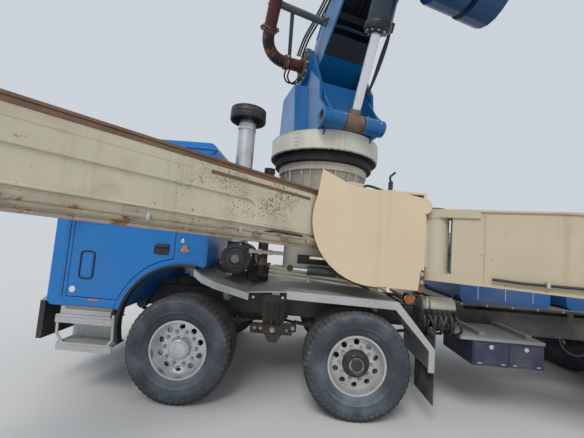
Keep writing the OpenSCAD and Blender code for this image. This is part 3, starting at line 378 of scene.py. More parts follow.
    def make(self, soft=radians(35)):
        mesh = bpy.data.meshes.new(self.name)
        mesh.from_pydata([tuple(p) for p in self.points], [], self.faces)
        for finish in self.finishes:
            mesh.materials.append(finish)
        mesh.polygons.foreach_set("material_index", self.tints)
        mesh.polygons.foreach_set("use_smooth", [True] * len(self.faces))
        mesh.update()
        mesh.set_sharp_from_angle(angle=soft)
        made = bpy.data.objects.new(self.name, mesh)
        bpy.context.collection.objects.link(made)
        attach(made, self.body)
        return made


def moved(x, y, z):
    return Matrix.Translation((x, y, z))


def spun(angle, axis):
    return Matrix.Rotation(angle, 4, axis)


here = Matrix.Translation(axle_2)
mirrored = Matrix.Diagonal((1, -1, 1, 1))
quarter_x = spun(pi / 2, "X")
along_x = spun(-pi / 2, "Z")


def at(x, y, z):
    return Matrix.Translation(axle_2 + Vector((x, y, z)))


def handed(side):
    """Turns a left-hand fitting into a right-hand one on the far side."""
    return Matrix.Identity(4) if side > 0 else mirrored


def beside(side):
    return here @ handed(side)


def corners(name):
    """Lowest and highest corner of a CAD node, measured from the second axle."""
    return [corner - axle_2 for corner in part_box(name)]


def band(inner, outer, low, high, slope):
    """Outline of a raised ring with sloping edges, as (radius, along)."""
    return [(inner, low), (outer, low + slope), (outer, high - slope), (inner, high)]


def both_ways(half):
    """Outline that is the same on both sides of its middle, from the half beyond it."""
    return [(r, -y) for r, y in half] + half[::-1]


def upright(low, high):
    """Rectangle's outline between two corners."""
    return [low, (high[0], low[1]), high, (low[0], high[1])]


# Rivet heads along both rails and U-bolts over the spring seats.
tip = 0.0005  # radius that closes a turned end
front_axle_x = 1.83
rails = Piece("rail_fasteners", "chassis", chassis_grey)
for side in (1, -1):
    for k in range(60):
        x = -7.0 + k * 0.168
        for z in (0.815, 1.015):
            out = at(x, side * 0.43, z) @ handed(side)
            rails.lathe([(0.013, 0), (0.012, 0.005), (0.007, 0.009), (tip, 0.010)], 8, 0, out)
rails.make()
springs = Piece("spring_bolts", "chassis", cast_iron)
for x in (front_axle_x, 0.0):
    for side in (1, -1):
        for dx in (-0.045, 0.045):
            bend = [(dx, y * side, z) for y, z in ((0.395, 0.50), (0.395, 0.735), (0.405, 0.752), (0.475, 0.752),
                (0.485, 0.735), (0.485, 0.50))]
            springs.tube(bend, 0.010, 8, 0, at(x, 0, 0))
            for y in (0.395, 0.485):
                springs.nut(0.03, 0.026, 0, at(x + dx, side * y, 0.497) @ spun(-pi / 2, "X"), 0.012)
        for dx in (-0.45, 0.45):
            springs.block((dx - 0.02, side * 0.44 - 0.05, 0.655),
                (dx + 0.02, side * 0.44 + 0.05, 0.73), 0.004, 0, at(x, 0, 0))
springs.make()

# ---------------------------------------------------------------- Wheels and tyres
# Radial truck tyres with ribbed treads on ten-stud disc wheels. The rims are the solids' own
# faces; the tyres are moulded round them, and dust has dried blue-grey on the rubber.
rubber = weathered("tyre_rubber", (0.034, 0.042, 0.052), 0.62, (0.185, 0.215, 0.25), 0.75, 0.0, 4.0, relief=0.35)
tread_rubber = weathered("tread_rubber", (0.022, 0.023, 0.025), 0.75, (0.16, 0.15, 0.14), 0.55, 0.0, 7.0, relief=0.4)
polished_disc = weathered("polished_disc", (0.68, 0.69, 0.71), 0.24, (0.30, 0.27, 0.23),
    0.28, 0.05, 6.0, metal=0.85, relief=0.08)
dusty_disc = weathered("dusty_disc", (0.60, 0.60, 0.60), 0.38, (0.30, 0.28, 0.25),
    0.55, 0.15, 6.0, metal=0.55, relief=0.2)
hub_black = weathered("hub_black", (0.020, 0.020, 0.023), 0.42, (0.12, 0.11, 0.10), 0.45, 0.1, 9.0, relief=0.25)
nut_steel = weathered("nut_steel", (0.60, 0.60, 0.62), 0.28, (0.25, 0.20, 0.15),
    0.35, 0.35, 30.0, metal=0.8, relief=0.1)


def tyre_points(radius, half):
    """Half outline of a tyre from its bead to the middle of the tread, as (radius, along)."""
    wall = [(0.290, 0.70), (0.300, 0.80), (0.318, 0.85), (0.330, 0.872), (0.336, 0.885), (0.342, 0.884)]
    shares = [(0.680, 0.955), (0.690, 0.972), (0.700, 0.968), (0.760, 0.996), (0.800, 0.999), (0.850, 0.988),
        (0.878, 0.972), (0.884, 0.985), (0.905, 0.966), (0.940, 0.925), (0.965, 0.875)]
    return [(r, half * y) for r, y in wall] + [(radius * r, half * y) for r, y in shares]


def moulded_tyre(piece, radius, width, place, grooves, lugs):
    """Tyre with its ring grooves and shoulder lugs cut into the tread."""
    half = width / 2
    side_points = tyre_points(radius, half)
    tread_half = half * 0.83
    across = []
    for centre, wide in grooves:
        across += [(centre - wide / 2 - 0.002, 0), (centre - wide / 2, 1), (centre + wide / 2, 1),
            (centre + wide / 2 + 0.002, 0)]
    across += [(-tread_half, 0), (-tread_half * 0.93, 0), (tread_half * 0.93, 0), (tread_half, 0)]
    across.sort()
    profile = [(r, -y) for r, y in side_points]
    profile += [(radius * (1 - 0.012 * (abs(y) / tread_half) ** 4) - (0.014 if deep else 0), y) for y, deep in across]
    profile += [(r, y) for r, y in side_points[::-1]]
    steps = lugs * 4
    points, count = [], len(profile)
    wall = len(side_points)
    for i in range(steps):
        turn = 2 * pi * i / steps
        cut = i % 4 == 0
        for j, (r, y) in enumerate(profile):
            shoulder = abs(y) > tread_half * 0.62 and wall - 4 <= j < count - wall + 4
            depth = 0.010 if cut and shoulder else 0
            points.append(((r - depth) * cos(turn), y, -(r - depth) * sin(turn)))
    walls, treads = [], []
    for i in range(steps):
        for j in range(count - 1):
            quad = (i * count + j, i * count + j + 1, (i + 1) % steps * count + j + 1, (i + 1) % steps * count + j)
            (walls if j < wall - 2 or j >= count - wall + 1 else treads).append(quad)
    piece.part(points, walls, 0, place)
    piece.part(points, treads, 1, place)


def rim_faces(piece, node, centre, tint):
    """Copies the rim's faces out of a CAD wheel, leaving its tyres."""
    mesh = nodes[node].data
    points = [v.co.copy() for v in mesh.vertices]
    kept, rim_edge = [], 0.3085
    for face in mesh.polygons:
        far = max(hypot(points[i].x - centre.x, points[i].z - centre.z) for i in face.vertices)
        if far <= rim_edge:
            kept.append(tuple(face.vertices))
    used = sorted({i for face in kept for i in face})
    place = {old: new for new, old in enumerate(used)}
    piece.part([points[i] for i in used], [tuple(place[i] for i in face) for face in kept], tint)


def studs(piece, place, circle, face_y, tint, across=0.033, high=0.028, stud=0.012, first=0.0):
    """Ten nuts round a hub."""
    for k in range(10):
        a = 2 * pi * (k + first) / 10
        piece.nut(across, high, tint, place @ moved(circle * cos(a), face_y, circle * sin(a)), stud)


stud_circle = 0.1675
for name in ("wheel_1l", "wheel_1r", "wheel_2l", "wheel_2r"):
    low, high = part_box(name)
    centre = (low + high) / 2
    radius, width = (high.z - low.z) / 2, high.y - low.y
    place = Matrix.Translation(centre) @ handed(1 if name[-1] == "l" else -1)
    disc = polished_disc if name[-2] == "1" else dusty_disc
    wheel = Piece(name + "_dressed", name, rubber, tread_rubber, disc, hub_black, nut_steel)
    moulded_tyre(wheel, radius, width, place, ((-0.105, 0.012), (-0.038, 0.014), (0.038, 0.014), (0.105, 0.012)), 54)
    rim_faces(wheel, name, centre, 2)
    studs(wheel, place, stud_circle, 0.093, 4)
    if name[-2] == "1":
        wheel.lathe([(0.102, 0.085), (0.104, 0.118), (0.100, 0.152), (0.088, 0.160), (0.085, 0.168), (0.060, 0.176),
            (tip, 0.178)], 40, 2, place)
        wheel.lathe([(0.198, 0.092), (0.200, 0.097), (0.196, 0.0985), (0.193, 0.092)], 48, 2, place)
    else:
        wheel.lathe([(0.140, 0.086), (0.141, 0.100), (0.134, 0.104), (0.126, 0.103), (0.122, 0.118), (0.113, 0.120),
            (0.108, 0.150), (0.098, 0.158), (0.090, 0.158), (0.084, 0.150), (0.060, 0.150), (0.054, 0.168),
            (0.030, 0.172), (tip, 0.172)], 40, 3, place)
        studs(wheel, place, 0.103, 0.152, 3, 0.019, 0.010, 0.004, 0.5)
    wheel.tube([(0.222, 0.055, 0.02), (0.235, 0.085, 0.02), (0.238, 0.12, 0.02)], 0.0045, 8, 4, place)
    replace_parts(wheel.make(radians(30)), name)

for name in ("twin_3l", "twin_3r", "twin_4l", "twin_4r"):
    low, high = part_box(name)
    centre = (low + high) / 2
    radius = (high.z - low.z) / 2
    side = 1 if name[-1] == "l" else -1
    outer_track = 1.090
    outer = Vector((centre.x, axle_2.y + side * outer_track, centre.z))
    place = Matrix.Translation(outer) @ handed(side)
    twin = Piece(name + "_dressed", name, rubber, tread_rubber, dusty_disc, hub_black, nut_steel)
    for inward in (0, -0.335):
        moulded_tyre(twin, radius, 0.275, place @ moved(0, inward, 0),
            ((-0.055, 0.014), (0.0, 0.012), (0.055, 0.014)), 48)
    rim_faces(twin, name, centre, 2)
    studs(twin, place, stud_circle, -0.086, 4)
    twin.lathe([(0.142, -0.092), (0.142, -0.060), (0.128, -0.055), (0.116, -0.040), (0.110, 0.040), (0.100, 0.058),
        (0.085, 0.063), (0.075, 0.058), (0.055, 0.060), (0.050, 0.074), (tip, 0.076)], 40, 3, place)
    studs(twin, place, 0.092, 0.058, 3, 0.019, 0.010, 0.004, 0.5)
    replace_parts(twin.make(radians(30)), name)


# ---------------------------------------------------------------- Cab shell, doors and glass
# Pressed steel cab in blue enamel with rolled seams, black plastic arch lips and toughened glass
# set in rubber. Rain has washed the dust into faint runs below the windows.
def runs(tree, place, fine=1.0):
    """Vertical wash marks, wide apart and uneven."""
    broad = noise(tree, place, 4.0 * fine, 4.0, (1, 1, 0.06))
    sharp = noise(tree, place, 22.0 * fine, 3.0, (1, 1, 0.04))
    return figure(tree, "MULTIPLY", ramp(tree, broad, 0.48, 0.68), ramp(tree, sharp, 0.42, 0.7))


def rain_runs():
    """Paint that rain has washed down in pale or dirty runs."""
    tree, given, out = effect("rain_runs", [("Paint", "Color", (0.1, 0.2, 0.5, 1)),
        ("Wash", "Color", (0.3, 0.3, 0.3, 1)), ("Amount", "Float", 0.4)], [("Color", "Color")])
    place = own_place(tree)
    share = figure(tree, "MULTIPLY", runs(tree, place), given.outputs["Amount"])
    tone = noise(tree, place, 1.3, 3.0)
    base = wire(tree, "ShaderNodeHueSaturation", {"Color": given.outputs["Paint"],
        "Value": figure(tree, "MULTIPLY_ADD", tone, 0.3, 0.85)}).outputs[0]
    send(tree, out, Color=blend_colour(tree, share, base, given.outputs["Wash"]))
    return tree


washed_tree = rain_runs()


def enamelled(name, paint, gloss, wash, wash_tint, dirt, rust, dust, size, relief, coat):
    """Weathered paint whose colour first gets its rain runs."""
    made = weathered(name, paint, gloss, dust, dirt, rust, size, relief=relief, coat=coat)
    tree = made.node_tree
    chips = chips_in(tree)
    washed = wire(tree, "ShaderNodeGroup", {"Paint": (*paint, 1), "Wash": (*wash_tint, 1),
        "Amount": wash}, node_tree=washed_tree)
    tree.links.new(washed.outputs["Color"], chips.inputs["Paint"])
    return made


cab_blue = enamelled("cab_blue", (0.002, 0.165, 0.50), 0.34, 0.12, (0.05, 0.19, 0.42),
    0.12, 0.06, (0.16, 0.20, 0.24), 1.6, 0.05, 0.08)
arch_black = weathered("arch_black", (0.018, 0.019, 0.021), 0.5, (0.12, 0.115, 0.11), 0.5, 0.0, 3.0, relief=0.3)
seal_black = weathered("seal_black", (0.010, 0.010, 0.011), 0.6, (0.10, 0.10, 0.10), 0.3, 0.0, 6.0, relief=0.2)
cloth_grey = weathered("cab_cloth", (0.055, 0.058, 0.065), 0.9, (0.10, 0.10, 0.10), 0.3, 0.0, 30.0, relief=0.6)
window = bpy.data.materials.new("window_glass")
window.use_nodes = True
pane = window.node_tree.nodes["Principled BSDF"]
pane_tree = window.node_tree
pane_place = own_place(pane_tree)
pane_film = figure(pane_tree, "MULTIPLY", runs(pane_tree, pane_place, 1.5), 0.5)
pane_tree.links.new(blend_colour(pane_tree, pane_film, (0.045, 0.06, 0.07, 1), (0.20, 0.21, 0.21, 1)),
    pane.inputs["Base Color"])
pane_tree.links.new(figure(pane_tree, "MULTIPLY_ADD", pane_film, 0.3, 0.05), pane.inputs["Roughness"])
pane.inputs["Transmission Weight"].default_value = 0.35
pane.inputs["IOR"].default_value = 1.45
dress(["cab_shell"], cab_blue, arch_black, seal_black)
arch_z = 0.76


def arch_lip(middle, facing):
    lip = hypot(middle.x - front_axle_x, middle.z - arch_z)
    outside = abs(middle.y) > 1.222 or (abs(middle.y) > 1.15 and 0.628 < lip < 0.6615 and middle.z < 1.425)
    return 1 if outside and lip < 0.665 else 0


finish_faces("cab_shell", arch_lip)
dress(["cab_glass"], window)
dress(["cab_interior"], cloth_grey)


def door_face(middle, facing):
    out, high = abs(middle.y), middle.z > 1.86
    pane_face = 1.193 <= out <= 1.2005 and high and abs(facing.y) > 0.9 or (1.1935 < out < 1.2005 and high)
    handle = 1.2070 < out < 1.2175 and 1.52 < middle.z < 1.57 and middle.x < 2.18
    return 1 if pane_face else 2 if handle else 0


for name in ("door_left", "door_right"):
    dress([name], cab_blue, window, arch_black)
    finish_faces(name, door_face)

# Rubber seals, panel seams and small fittings of the cab's sides.
chrome_trim = weathered("chrome_trim", (0.72, 0.73, 0.75), 0.12, (0.30, 0.28, 0.25),
    0.2, 0.08, 12.0, metal=0.95, relief=0.05)
amber_lens = weathered("amber_lens", (0.60, 0.155, 0.015), 0.18, (0.40, 0.22, 0.10),
    0.25, 0.0, 8.0, relief=0.1, coat=0.4)
pearl_lens = weathered("pearl_lens", (0.62, 0.72, 0.74), 0.2, (0.40, 0.40, 0.38),
    0.15, 0.0, 8.0, relief=0.1, coat=0.4)
red_lens = weathered("red_lens", (0.50, 0.02, 0.015), 0.2, (0.25, 0.10, 0.08), 0.25, 0.0, 8.0, relief=0.1, coat=0.4)
lens_glow = weathered("lamp_glass", (0.70, 0.72, 0.74), 0.08, (0.4, 0.4, 0.4), 0.15, 0.0, 8.0, metal=0.4, relief=0.05)
mirror_face = weathered("mirror_face", (0.75, 0.78, 0.80), 0.04, (0.4, 0.4, 0.4),
    0.1, 0.0, 8.0, metal=0.95, relief=0.02)


def nut_ring(piece, place, count, circle, out, across, high, tint, stud, first=0.0, turned=Matrix.Identity(4)):
    """Nuts in a circle round local Y, each turned with its place on it."""
    for k in range(count):
        spot = place @ spun(2 * pi * k / count + first, "Y") @ moved(circle, out, 0) @ turned
        piece.nut(across, high, tint, spot, stud)


def ring_line(corners, radius, turns=6):
    """Closed outline with rounded corners, in local XZ."""
    points = []
    n = len(corners)
    for i, (x, z) in enumerate(corners):
        before, after = Vector(corners[i - 1]), Vector(corners[(i + 1) % n])
        corner = Vector((x, z))
        a = corner + (before - corner).normalized() * radius
        b = corner + (after - corner).normalized() * radius
        for k in range(turns + 1):
            t = k / turns
            points.append(tuple(a * (1 - t) ** 2 + corner * 2 * t * (1 - t) + b * t * t))
    return points


def left_and_right(draw):
    """Draws a left-hand fitting on both sides of the truck."""
    for side in (1, -1):
        draw(beside(side))


window_corners = [(2.95, 1.85), (2.95, 1.92), (2.85, 2.49), (2.05, 2.49), (2.05, 1.85)]
door_seam = [(3.042, 1.02), (3.042, 1.91), (2.922, 2.572), (1.968, 2.572), (1.968, 1.47)]
for side_name, side in (("left", 1), ("right", -1)):
    place = beside(side)
    fittings = Piece("door_fittings_" + side_name, "door_" + side_name, seal_black, cab_blue, arch_black, pearl_lens)
    loop = ring_line(window_corners, 0.035)
    fittings.tube([(x, 1.2205, z) for x, z in loop + loop[:1]], 0.011, 8, 0, place)
    # Locker flap in its rubber frame, low on the door
    flap = ring_line([(2.935, 1.19), (2.935, 1.472), (2.792, 1.472), (2.792, 1.19)], 0.045)
    fittings.tube([(x, 1.221, z) for x, z in flap + flap[:1]], 0.0085, 8, 0, place)
    inner = ring_line([(2.918, 1.206), (2.918, 1.456), (2.809, 1.456), (2.809, 1.206)], 0.035)
    fittings.slab(inner, 0.006, 1, place @ moved(0, 1.219, 0), 0.003)
    # Handle recess and its pull
    cup = ring_line([(2.17, 1.495), (2.17, 1.612), (2.018, 1.612), (2.018, 1.495)], 0.018)
    fittings.slab(cup, 0.004, 2, place @ moved(0, 1.2195, 0), 0.002)
    fittings.tube([(2.155, 1.223, 1.59), (2.15, 1.243, 1.588), (2.04, 1.243, 1.588),
        (2.035, 1.223, 1.59)], 0.010, 8, 2, place, 4)
    fittings.lathe([(0.011, 0), (0.011, 0.006), (0.008, 0.008), (tip, 0.008)],
        12, 2, place @ moved(2.10, 1.223, 1.525))
    # Round reflector in the lower front corner
    fittings.lathe([(0.033, 0), (0.033, 0.005), (0.029, 0.008), (tip, 0.009)],
        24, 3, place @ moved(2.985, 1.22, 1.07))
    # Rolled crease along the door below the window
    fittings.tube([(3.02, 1.2195, 1.765), (2.0, 1.2195, 1.765)], 0.006, 8, 1, place)
    fittings.make()

cab_trim = Piece("cab_trim", "chassis", seal_black, cab_blue, chrome_trim, amber_lens, arch_black,
    weathered("sill_grime", (0.20, 0.20, 0.19), 0.7, (0.22, 0.19, 0.15), 1.0, 0.2, 5.0, relief=0.4))


def cab_side_trim(place):
    cab_trim.tube([(x, 1.2165, z) for x, z in door_seam], 0.0042, 6, 0, place)
    cab_trim.tube([(1.64, 1.2195, 1.44), (1.64, 1.2195, 2.60)], 0.007, 8, 1, place)
    # Marker lamp in its bright lozenge frame, with a plain round disc above it
    lozenge = [(0.046, 0), (0, 0.036), (-0.046, 0), (0, -0.036)]
    spot = place @ moved(1.858, 1.219, 1.561)
    cab_trim.slab(ring_line(lozenge, 0.008, 3), 0.007, 2, spot, 0.003)
    cab_trim.lathe([(0.024, 0.006), (0.024, 0.016), (0.018, 0.025), (tip, 0.028)], 20, 3, spot)
    cab_trim.lathe([(0.020, 0), (0.020, 0.004), (0.015, 0.006), (0.013, 0.003), (tip, 0.003)],
        20, 2, place @ moved(1.888, 1.22, 1.655))
    # Sill under the door with its small lamp and the worn lip over the steps
    cab_trim.block((2.52, 1.205, 0.905), (3.02, 1.226, 0.992), 0.006, 1, place)
    cab_trim.block((2.70, 1.222, 0.968), (2.80, 1.233, 0.986), 0.003, 3, place)
    cab_trim.block((2.53, 1.17, 0.872), (3.02, 1.245, 0.906), 0.008, 5, place)
    # Seam of the corner panel ahead of the door
    cab_trim.tube([(3.085, 1.2195, 0.98), (3.085, 1.2195, 1.90), (2.985, 1.2195, 2.60)], 0.005, 6, 0, place)
    cab_trim.tube([(3.115, 1.2195, 0.98), (3.115, 1.2195, 1.90)], 0.004, 6, 1, place)
    # Gutter over the door
    cab_trim.tube([(3.06, 1.222, 1.93), (2.97, 1.224, 2.60), (2.90, 1.225, 2.645), (1.72, 1.225, 2.655),
        (1.68, 1.222, 2.60)], 0.010, 8, 1, place, 3)
    # Arch liner's inner edge
    cab_trim.tube([(front_axle_x + 0.650 * cos(a), 1.238, arch_z + 0.650 * sin(a))
        for a in [radians(-16 + 4 * k) for k in range(30)]], 0.009, 8, 4, place)


left_and_right(cab_side_trim)
cab_trim.make()

# Windscreen rubber, wipers, grille bars and headlamp frames across the cab's face.
face_trim = Piece("cab_face", "chassis", seal_black, arch_black, chrome_trim, lens_glow, cab_blue, amber_lens)
lean = tan(radians(12.5))
screen = ring_line(upright((-1.10, 1.885), (1.10, 2.52)), 0.06)
face_trim.tube([(3.242 - max(0, z - 1.79) * lean, y, z) for y, z in screen + screen[:1]], 0.014, 8, 0, here)
for y in (-0.62, 0.42):
    face_trim.tube([(3.255, y, 1.80), (3.262, y + 0.02, 1.84), (3.16, y + 0.42, 2.30)], 0.007, 8, 1, here)
    face_trim.tube([(3.225, y + 0.10, 1.99), (3.10, y + 0.52, 2.43)], 0.009, 6, 0, here)
    face_trim.lathe([(0.02, -0.01), (0.02, 0.02), (0.012, 0.026), (tip, 0.026)], 12, 1, at(3.245, y, 1.80) @ along_x)
for k in range(7):
    z = 1.06 + 0.095 * k
    face_trim.block((3.236, -0.80, z), (3.252, 0.80, z + 0.058), 0.006, 1 if k % 2 else 4, here)
face_trim.block((3.238, -0.92, 1.005), (3.249, 0.92, 1.035), 0.005, 2, here)
for side in (1, -1):
    place = beside(side)
    face_trim.block((3.236, 0.90, 1.10), (3.250, 1.14, 1.28), 0.006, 2, place)
    face_trim.block((3.244, 0.92, 1.115), (3.256, 1.12, 1.265), 0.006, 5, place)
    face_trim.tube([(3.25, 0.95, 1.62), (3.285, 0.95, 1.60), (3.285, 0.55, 1.60),
        (3.25, 0.55, 1.62)], 0.012, 8, 1, place, 4)
    for y in (0.25, 0.75):
        face_trim.block((2.955, y - 0.07, 2.715), (3.035, y + 0.07, 2.748), 0.012, 5, place)
face_trim.make()

# Ribs pressed into the roof, and a hatch with its rubber.
roof = Piece("roof_pressings", "chassis", cab_blue, seal_black)
for y in (-0.95, -0.72, 0.72, 0.95):
    roof.block((1.80, y - 0.035, 2.715), (2.90, y + 0.035, 2.728), 0.008, 0, here)
hatch = ring_line(upright((2.05, -0.36), (2.75, 0.36)), 0.08)
roof.slab(hatch, 0.03, 0, at(0, 0, 2.716) @ quarter_x, 0.012)
roof.tube([(x, y, 2.722) for x, y in hatch + hatch[:1]], 0.009, 6, 1, here)
roof.make()

# ---------------------------------------------------------------- Bumper, lamps and mirrors
# Moulded black bumper with a pale top shelf, glass headlamps in their frames, and mirrors in
# plastic housings on tube arms.
bumper_black = weathered("bumper_black", (0.022, 0.022, 0.024), 0.5, (0.16, 0.14, 0.12), 0.6, 0.0, 2.0, relief=0.45)
shelf_grey = weathered("shelf_grey", (0.50, 0.50, 0.47), 0.6, (0.30, 0.27, 0.22), 0.7, 0.05, 4.0, relief=0.3)
dress(["front_bumper"], bumper_black)
bumper = Piece("bumper_dressing", "chassis", shelf_grey, bumper_black, lens_glow, chrome_trim, seal_black)
bumper.slab([(-1.19, 3.255), (-1.04, 3.375), (1.04, 3.375), (1.19, 3.255), (1.205, 3.300), (1.06, 3.388),
    (-1.06, 3.388), (-1.205, 3.300)],
    0.012, 0, at(0, 0, 0.931) @ Matrix(((0, 0, 1, 0), (1, 0, 0, 0), (0, 1, 0, 0), (0, 0, 0, 1))), 0.004)
for side in (1, -1):
    place = beside(side)
    bumper.block((3.372, 0.735, 0.675), (3.392, 0.985, 0.865), 0.008, 4, place)
    for y in (0.80, 0.92):
        bumper.lathe([(0.052, 0.0), (0.052, 0.010), (0.047, 0.014), (0.040, 0.012), (0.020, 0.018), (tip, 0.020)],
            28, 2, place @ moved(3.3845, y, 0.77) @ along_x)
    bumper.lathe([(0.026, 0), (0.026, 0.02), (0.020, 0.026), (tip, 0.026)],
        16, 3, place @ moved(3.378, 0.40, 0.62) @ along_x)
for k in range(4):
    bumper.block((3.374, -0.55, 0.66 + 0.055 * k), (3.386, 0.55, 0.685 + 0.055 * k), 0.006, 4, here)
bumper.make()
dress(["lamps"], amber_lens, lens_glow, red_lens, seal_black, chrome_trim)


def lamp_face(middle, facing):
    x, out, z = middle.x, abs(middle.y), middle.z
    if x > 3:
        return 1
    if x < -6.5:
        return 2 if x < -7.10 and out > 0.899 and 0.819 < z < 0.901 else 3
    return 4 if 1.22 < z < 1.256 and x < -0.4 and out < 1.1195 and abs(z - 1.24) > 0.0149 else 0


finish_faces("lamps", lamp_face)
side_lamp = Piece("side_lamps", "chassis", amber_lens, chrome_trim, seal_black)


def side_lamp_parts(place):
    spot = place @ moved(-0.52, 1.140, 1.24)
    side_lamp.lathe([(0.052, -0.012), (0.056, -0.006), (0.056, 0.006), (0.050, 0.010), (0.047, 0.006)], 28, 1, spot)
    side_lamp.lathe([(0.046, 0.004), (0.040, 0.014), (0.020, 0.020), (tip, 0.021)], 28, 0, spot)
    side_lamp.block((-0.575, 1.085, 1.185), (-0.465, 1.122, 1.295), 0.010, 2, place)


left_and_right(side_lamp_parts)
side_lamp.make()
dress(["mirrors"], bumper_black)
mirror = Piece("mirror_dressing", "chassis", mirror_face, bumper_black, chrome_trim)


def mirror_parts(place):
    for low, high in ((1.995, 2.235), (2.255, 2.385)):
        loop = ring_line(upright((1.362, low), (1.538, high)), 0.02)
        turned_back = place @ moved(3.0855, 0, 0) @ Matrix(((0, -1, 0, 0), (1, 0, 0, 0), (0, 0, 1, 0), (0, 0, 0, 1)))
        mirror.slab(loop, 0.004, 0, turned_back, 0.001)
    for z in (1.985, 2.395):
        mirror.tube([(3.10, 1.36, z), (3.10, 1.54, z)], 0.010, 8, 1, place)
    mirror.block((3.112, 1.37, 2.05), (3.126, 1.53, 2.33), 0.010, 1, place)
    for z in (1.885, 2.465):
        mirror.lathe([(0.020, -0.012), (0.020, 0.012)], 12, 1, place @ moved(3.13, 1.43, z) @ quarter_x)


left_and_right(mirror_parts)
mirror.make()

# ---------------------------------------------------------------- Steps, mudguards and flaps
# Folded aluminium chequer plate on flat brackets, bent at its edges and worn bright where boots
# step; rubber flaps hang behind the wheels.
def chequer_plate():
    """Raised lozenges of rolled plate, worn on their tops."""
    tree, given, out = effect("chequer_plate", [("Pitch", "Float", 30.0)], [("Height", "Float"), ("Worn", "Float")])
    place = own_place(tree)
    split = wire(tree, "ShaderNodeSeparateXYZ", {0: place})
    across = figure(tree, "ADD", split.outputs[1], split.outputs[2])
    raised = []
    for sign, offset in ((1, 0.0), (-1, 0.5)):
        along = figure(tree, "MULTIPLY", split.outputs[0], given.outputs["Pitch"])
        over = figure(tree, "MULTIPLY", across, given.outputs["Pitch"])
        a = figure(tree, "SUBTRACT", figure(tree, "FRACT", figure(tree, "ADD", along, offset), 0.0), 0.5)
        b = figure(tree, "SUBTRACT", figure(tree, "FRACT", figure(tree, "ADD", over, offset), 0.0), 0.5)
        long_way = figure(tree, "MULTIPLY", figure(tree, "MULTIPLY_ADD", b, float(sign), a), 1.6)
        short_way = figure(tree, "MULTIPLY", figure(tree, "MULTIPLY_ADD", b, -float(sign), a), 5.0)
        reach = figure(tree, "ADD", figure(tree, "MULTIPLY", long_way, long_way),
            figure(tree, "MULTIPLY", short_way, short_way))
        raised.append(between(tree, reach, 0.6, 0.25))
    height = figure(tree, "MAXIMUM", raised[0], raised[1])
    send(tree, out, Height=height, Worn=figure(tree, "MULTIPLY", height, noise(tree, place, 5.0, 3.0)))
    return tree


plate_tree = chequer_plate()


def chequered(name, metal_tint, dust, dirt):
    made = weathered(name, metal_tint, 0.42, dust, dirt, 0.1, 3.0, metal=0.55, relief=0.2)
    tree = made.node_tree
    lozenges = wire(tree, "ShaderNodeGroup", {"Pitch": 30.0}, node_tree=plate_tree)
    raise_relief(tree, lozenges.outputs["Height"], 3.0).inputs["Strength"].default_value = 0.5
    worn = blend_colour(tree, lozenges.outputs["Worn"], (*metal_tint, 1), (0.62, 0.63, 0.65, 1))
    tree.links.new(worn, chips_in(tree).inputs["Paint"])
    return made


chequer = chequered("chequer_plate", (0.50, 0.51, 0.51), (0.36, 0.345, 0.31), 0.6)
flap_rubber = weathered("flap_rubber", (0.025, 0.026, 0.028), 0.6, (0.20, 0.18, 0.15), 0.9, 0.0, 4.0, relief=0.4)
dress(["steps_and_mudguards"], chequer, flap_rubber)


def guard_face(middle, facing):
    flap = -0.7605 < middle.x < -0.7505 or -6.0855 < middle.x < -6.0755
    return 1 if flap and middle.z < 1.1955 and abs(middle.y) > 0.6 else 0


finish_faces("steps_and_mudguards", guard_face)
guards = Piece("guard_fittings", "chassis", chequer, nut_steel, flap_rubber, chassis_grey)


def guard_parts(place):
    # Bolted flap bars, bracket bolts, edge folds
    for x, low, y0 in ((-0.742, 0.90, 0.80), (-6.066, 1.10, 0.66)):
        guards.block((x - 0.006, y0, low), (x + 0.004, 1.22, low + 0.045), 0.002, 3, place)
        for k in range(4):
            spot = place @ moved(x - 0.020, y0 + 0.05 + k * 0.11, low + 0.022)
            guards.nut(0.018, 0.008, 1, spot @ spun(pi / 2, "Z"), 0.003)
    for x, z in ((1.10, 1.150), (0.80, 1.165), (0.40, 1.200), (-0.10, 1.178), (-0.33, 1.165)):
        guards.lathe([(0.014, 0), (0.013, 0.005), (0.007, 0.008), (tip, 0.008)], 10, 1, place @ moved(x, 1.249, z))
    for x in (2.60, 2.98):
        for z in (0.79, 0.825):
            guards.lathe([(0.011, 0), (0.010, 0.004), (tip, 0.006)], 8, 1, place @ moved(x, 1.26, z - 0.02))
    # Side plates and rolled noses of the steps
    guards.slab([(3.085, 0.82), (3.075, 0.62), (2.99, 0.50), (2.97, 0.53), (3.05, 0.63), (3.06, 0.82)],
        0.012, 0, place @ moved(0, 1.245, 0), 0.003)
    guards.slab([(2.49, 0.85), (2.475, 0.60), (2.55, 0.49), (2.57, 0.51), (2.50, 0.61), (2.515, 0.85)],
        0.012, 0, place @ moved(0, 1.245, 0), 0.003)
    for front, back, z in ((3.08, 2.51, 0.812), (3.00, 2.50, 0.541)):
        guards.tube([(front, 1.256, z), (back, 1.256, z)], 0.011, 8, 0, place)


left_and_right(guard_parts)
guards.make()

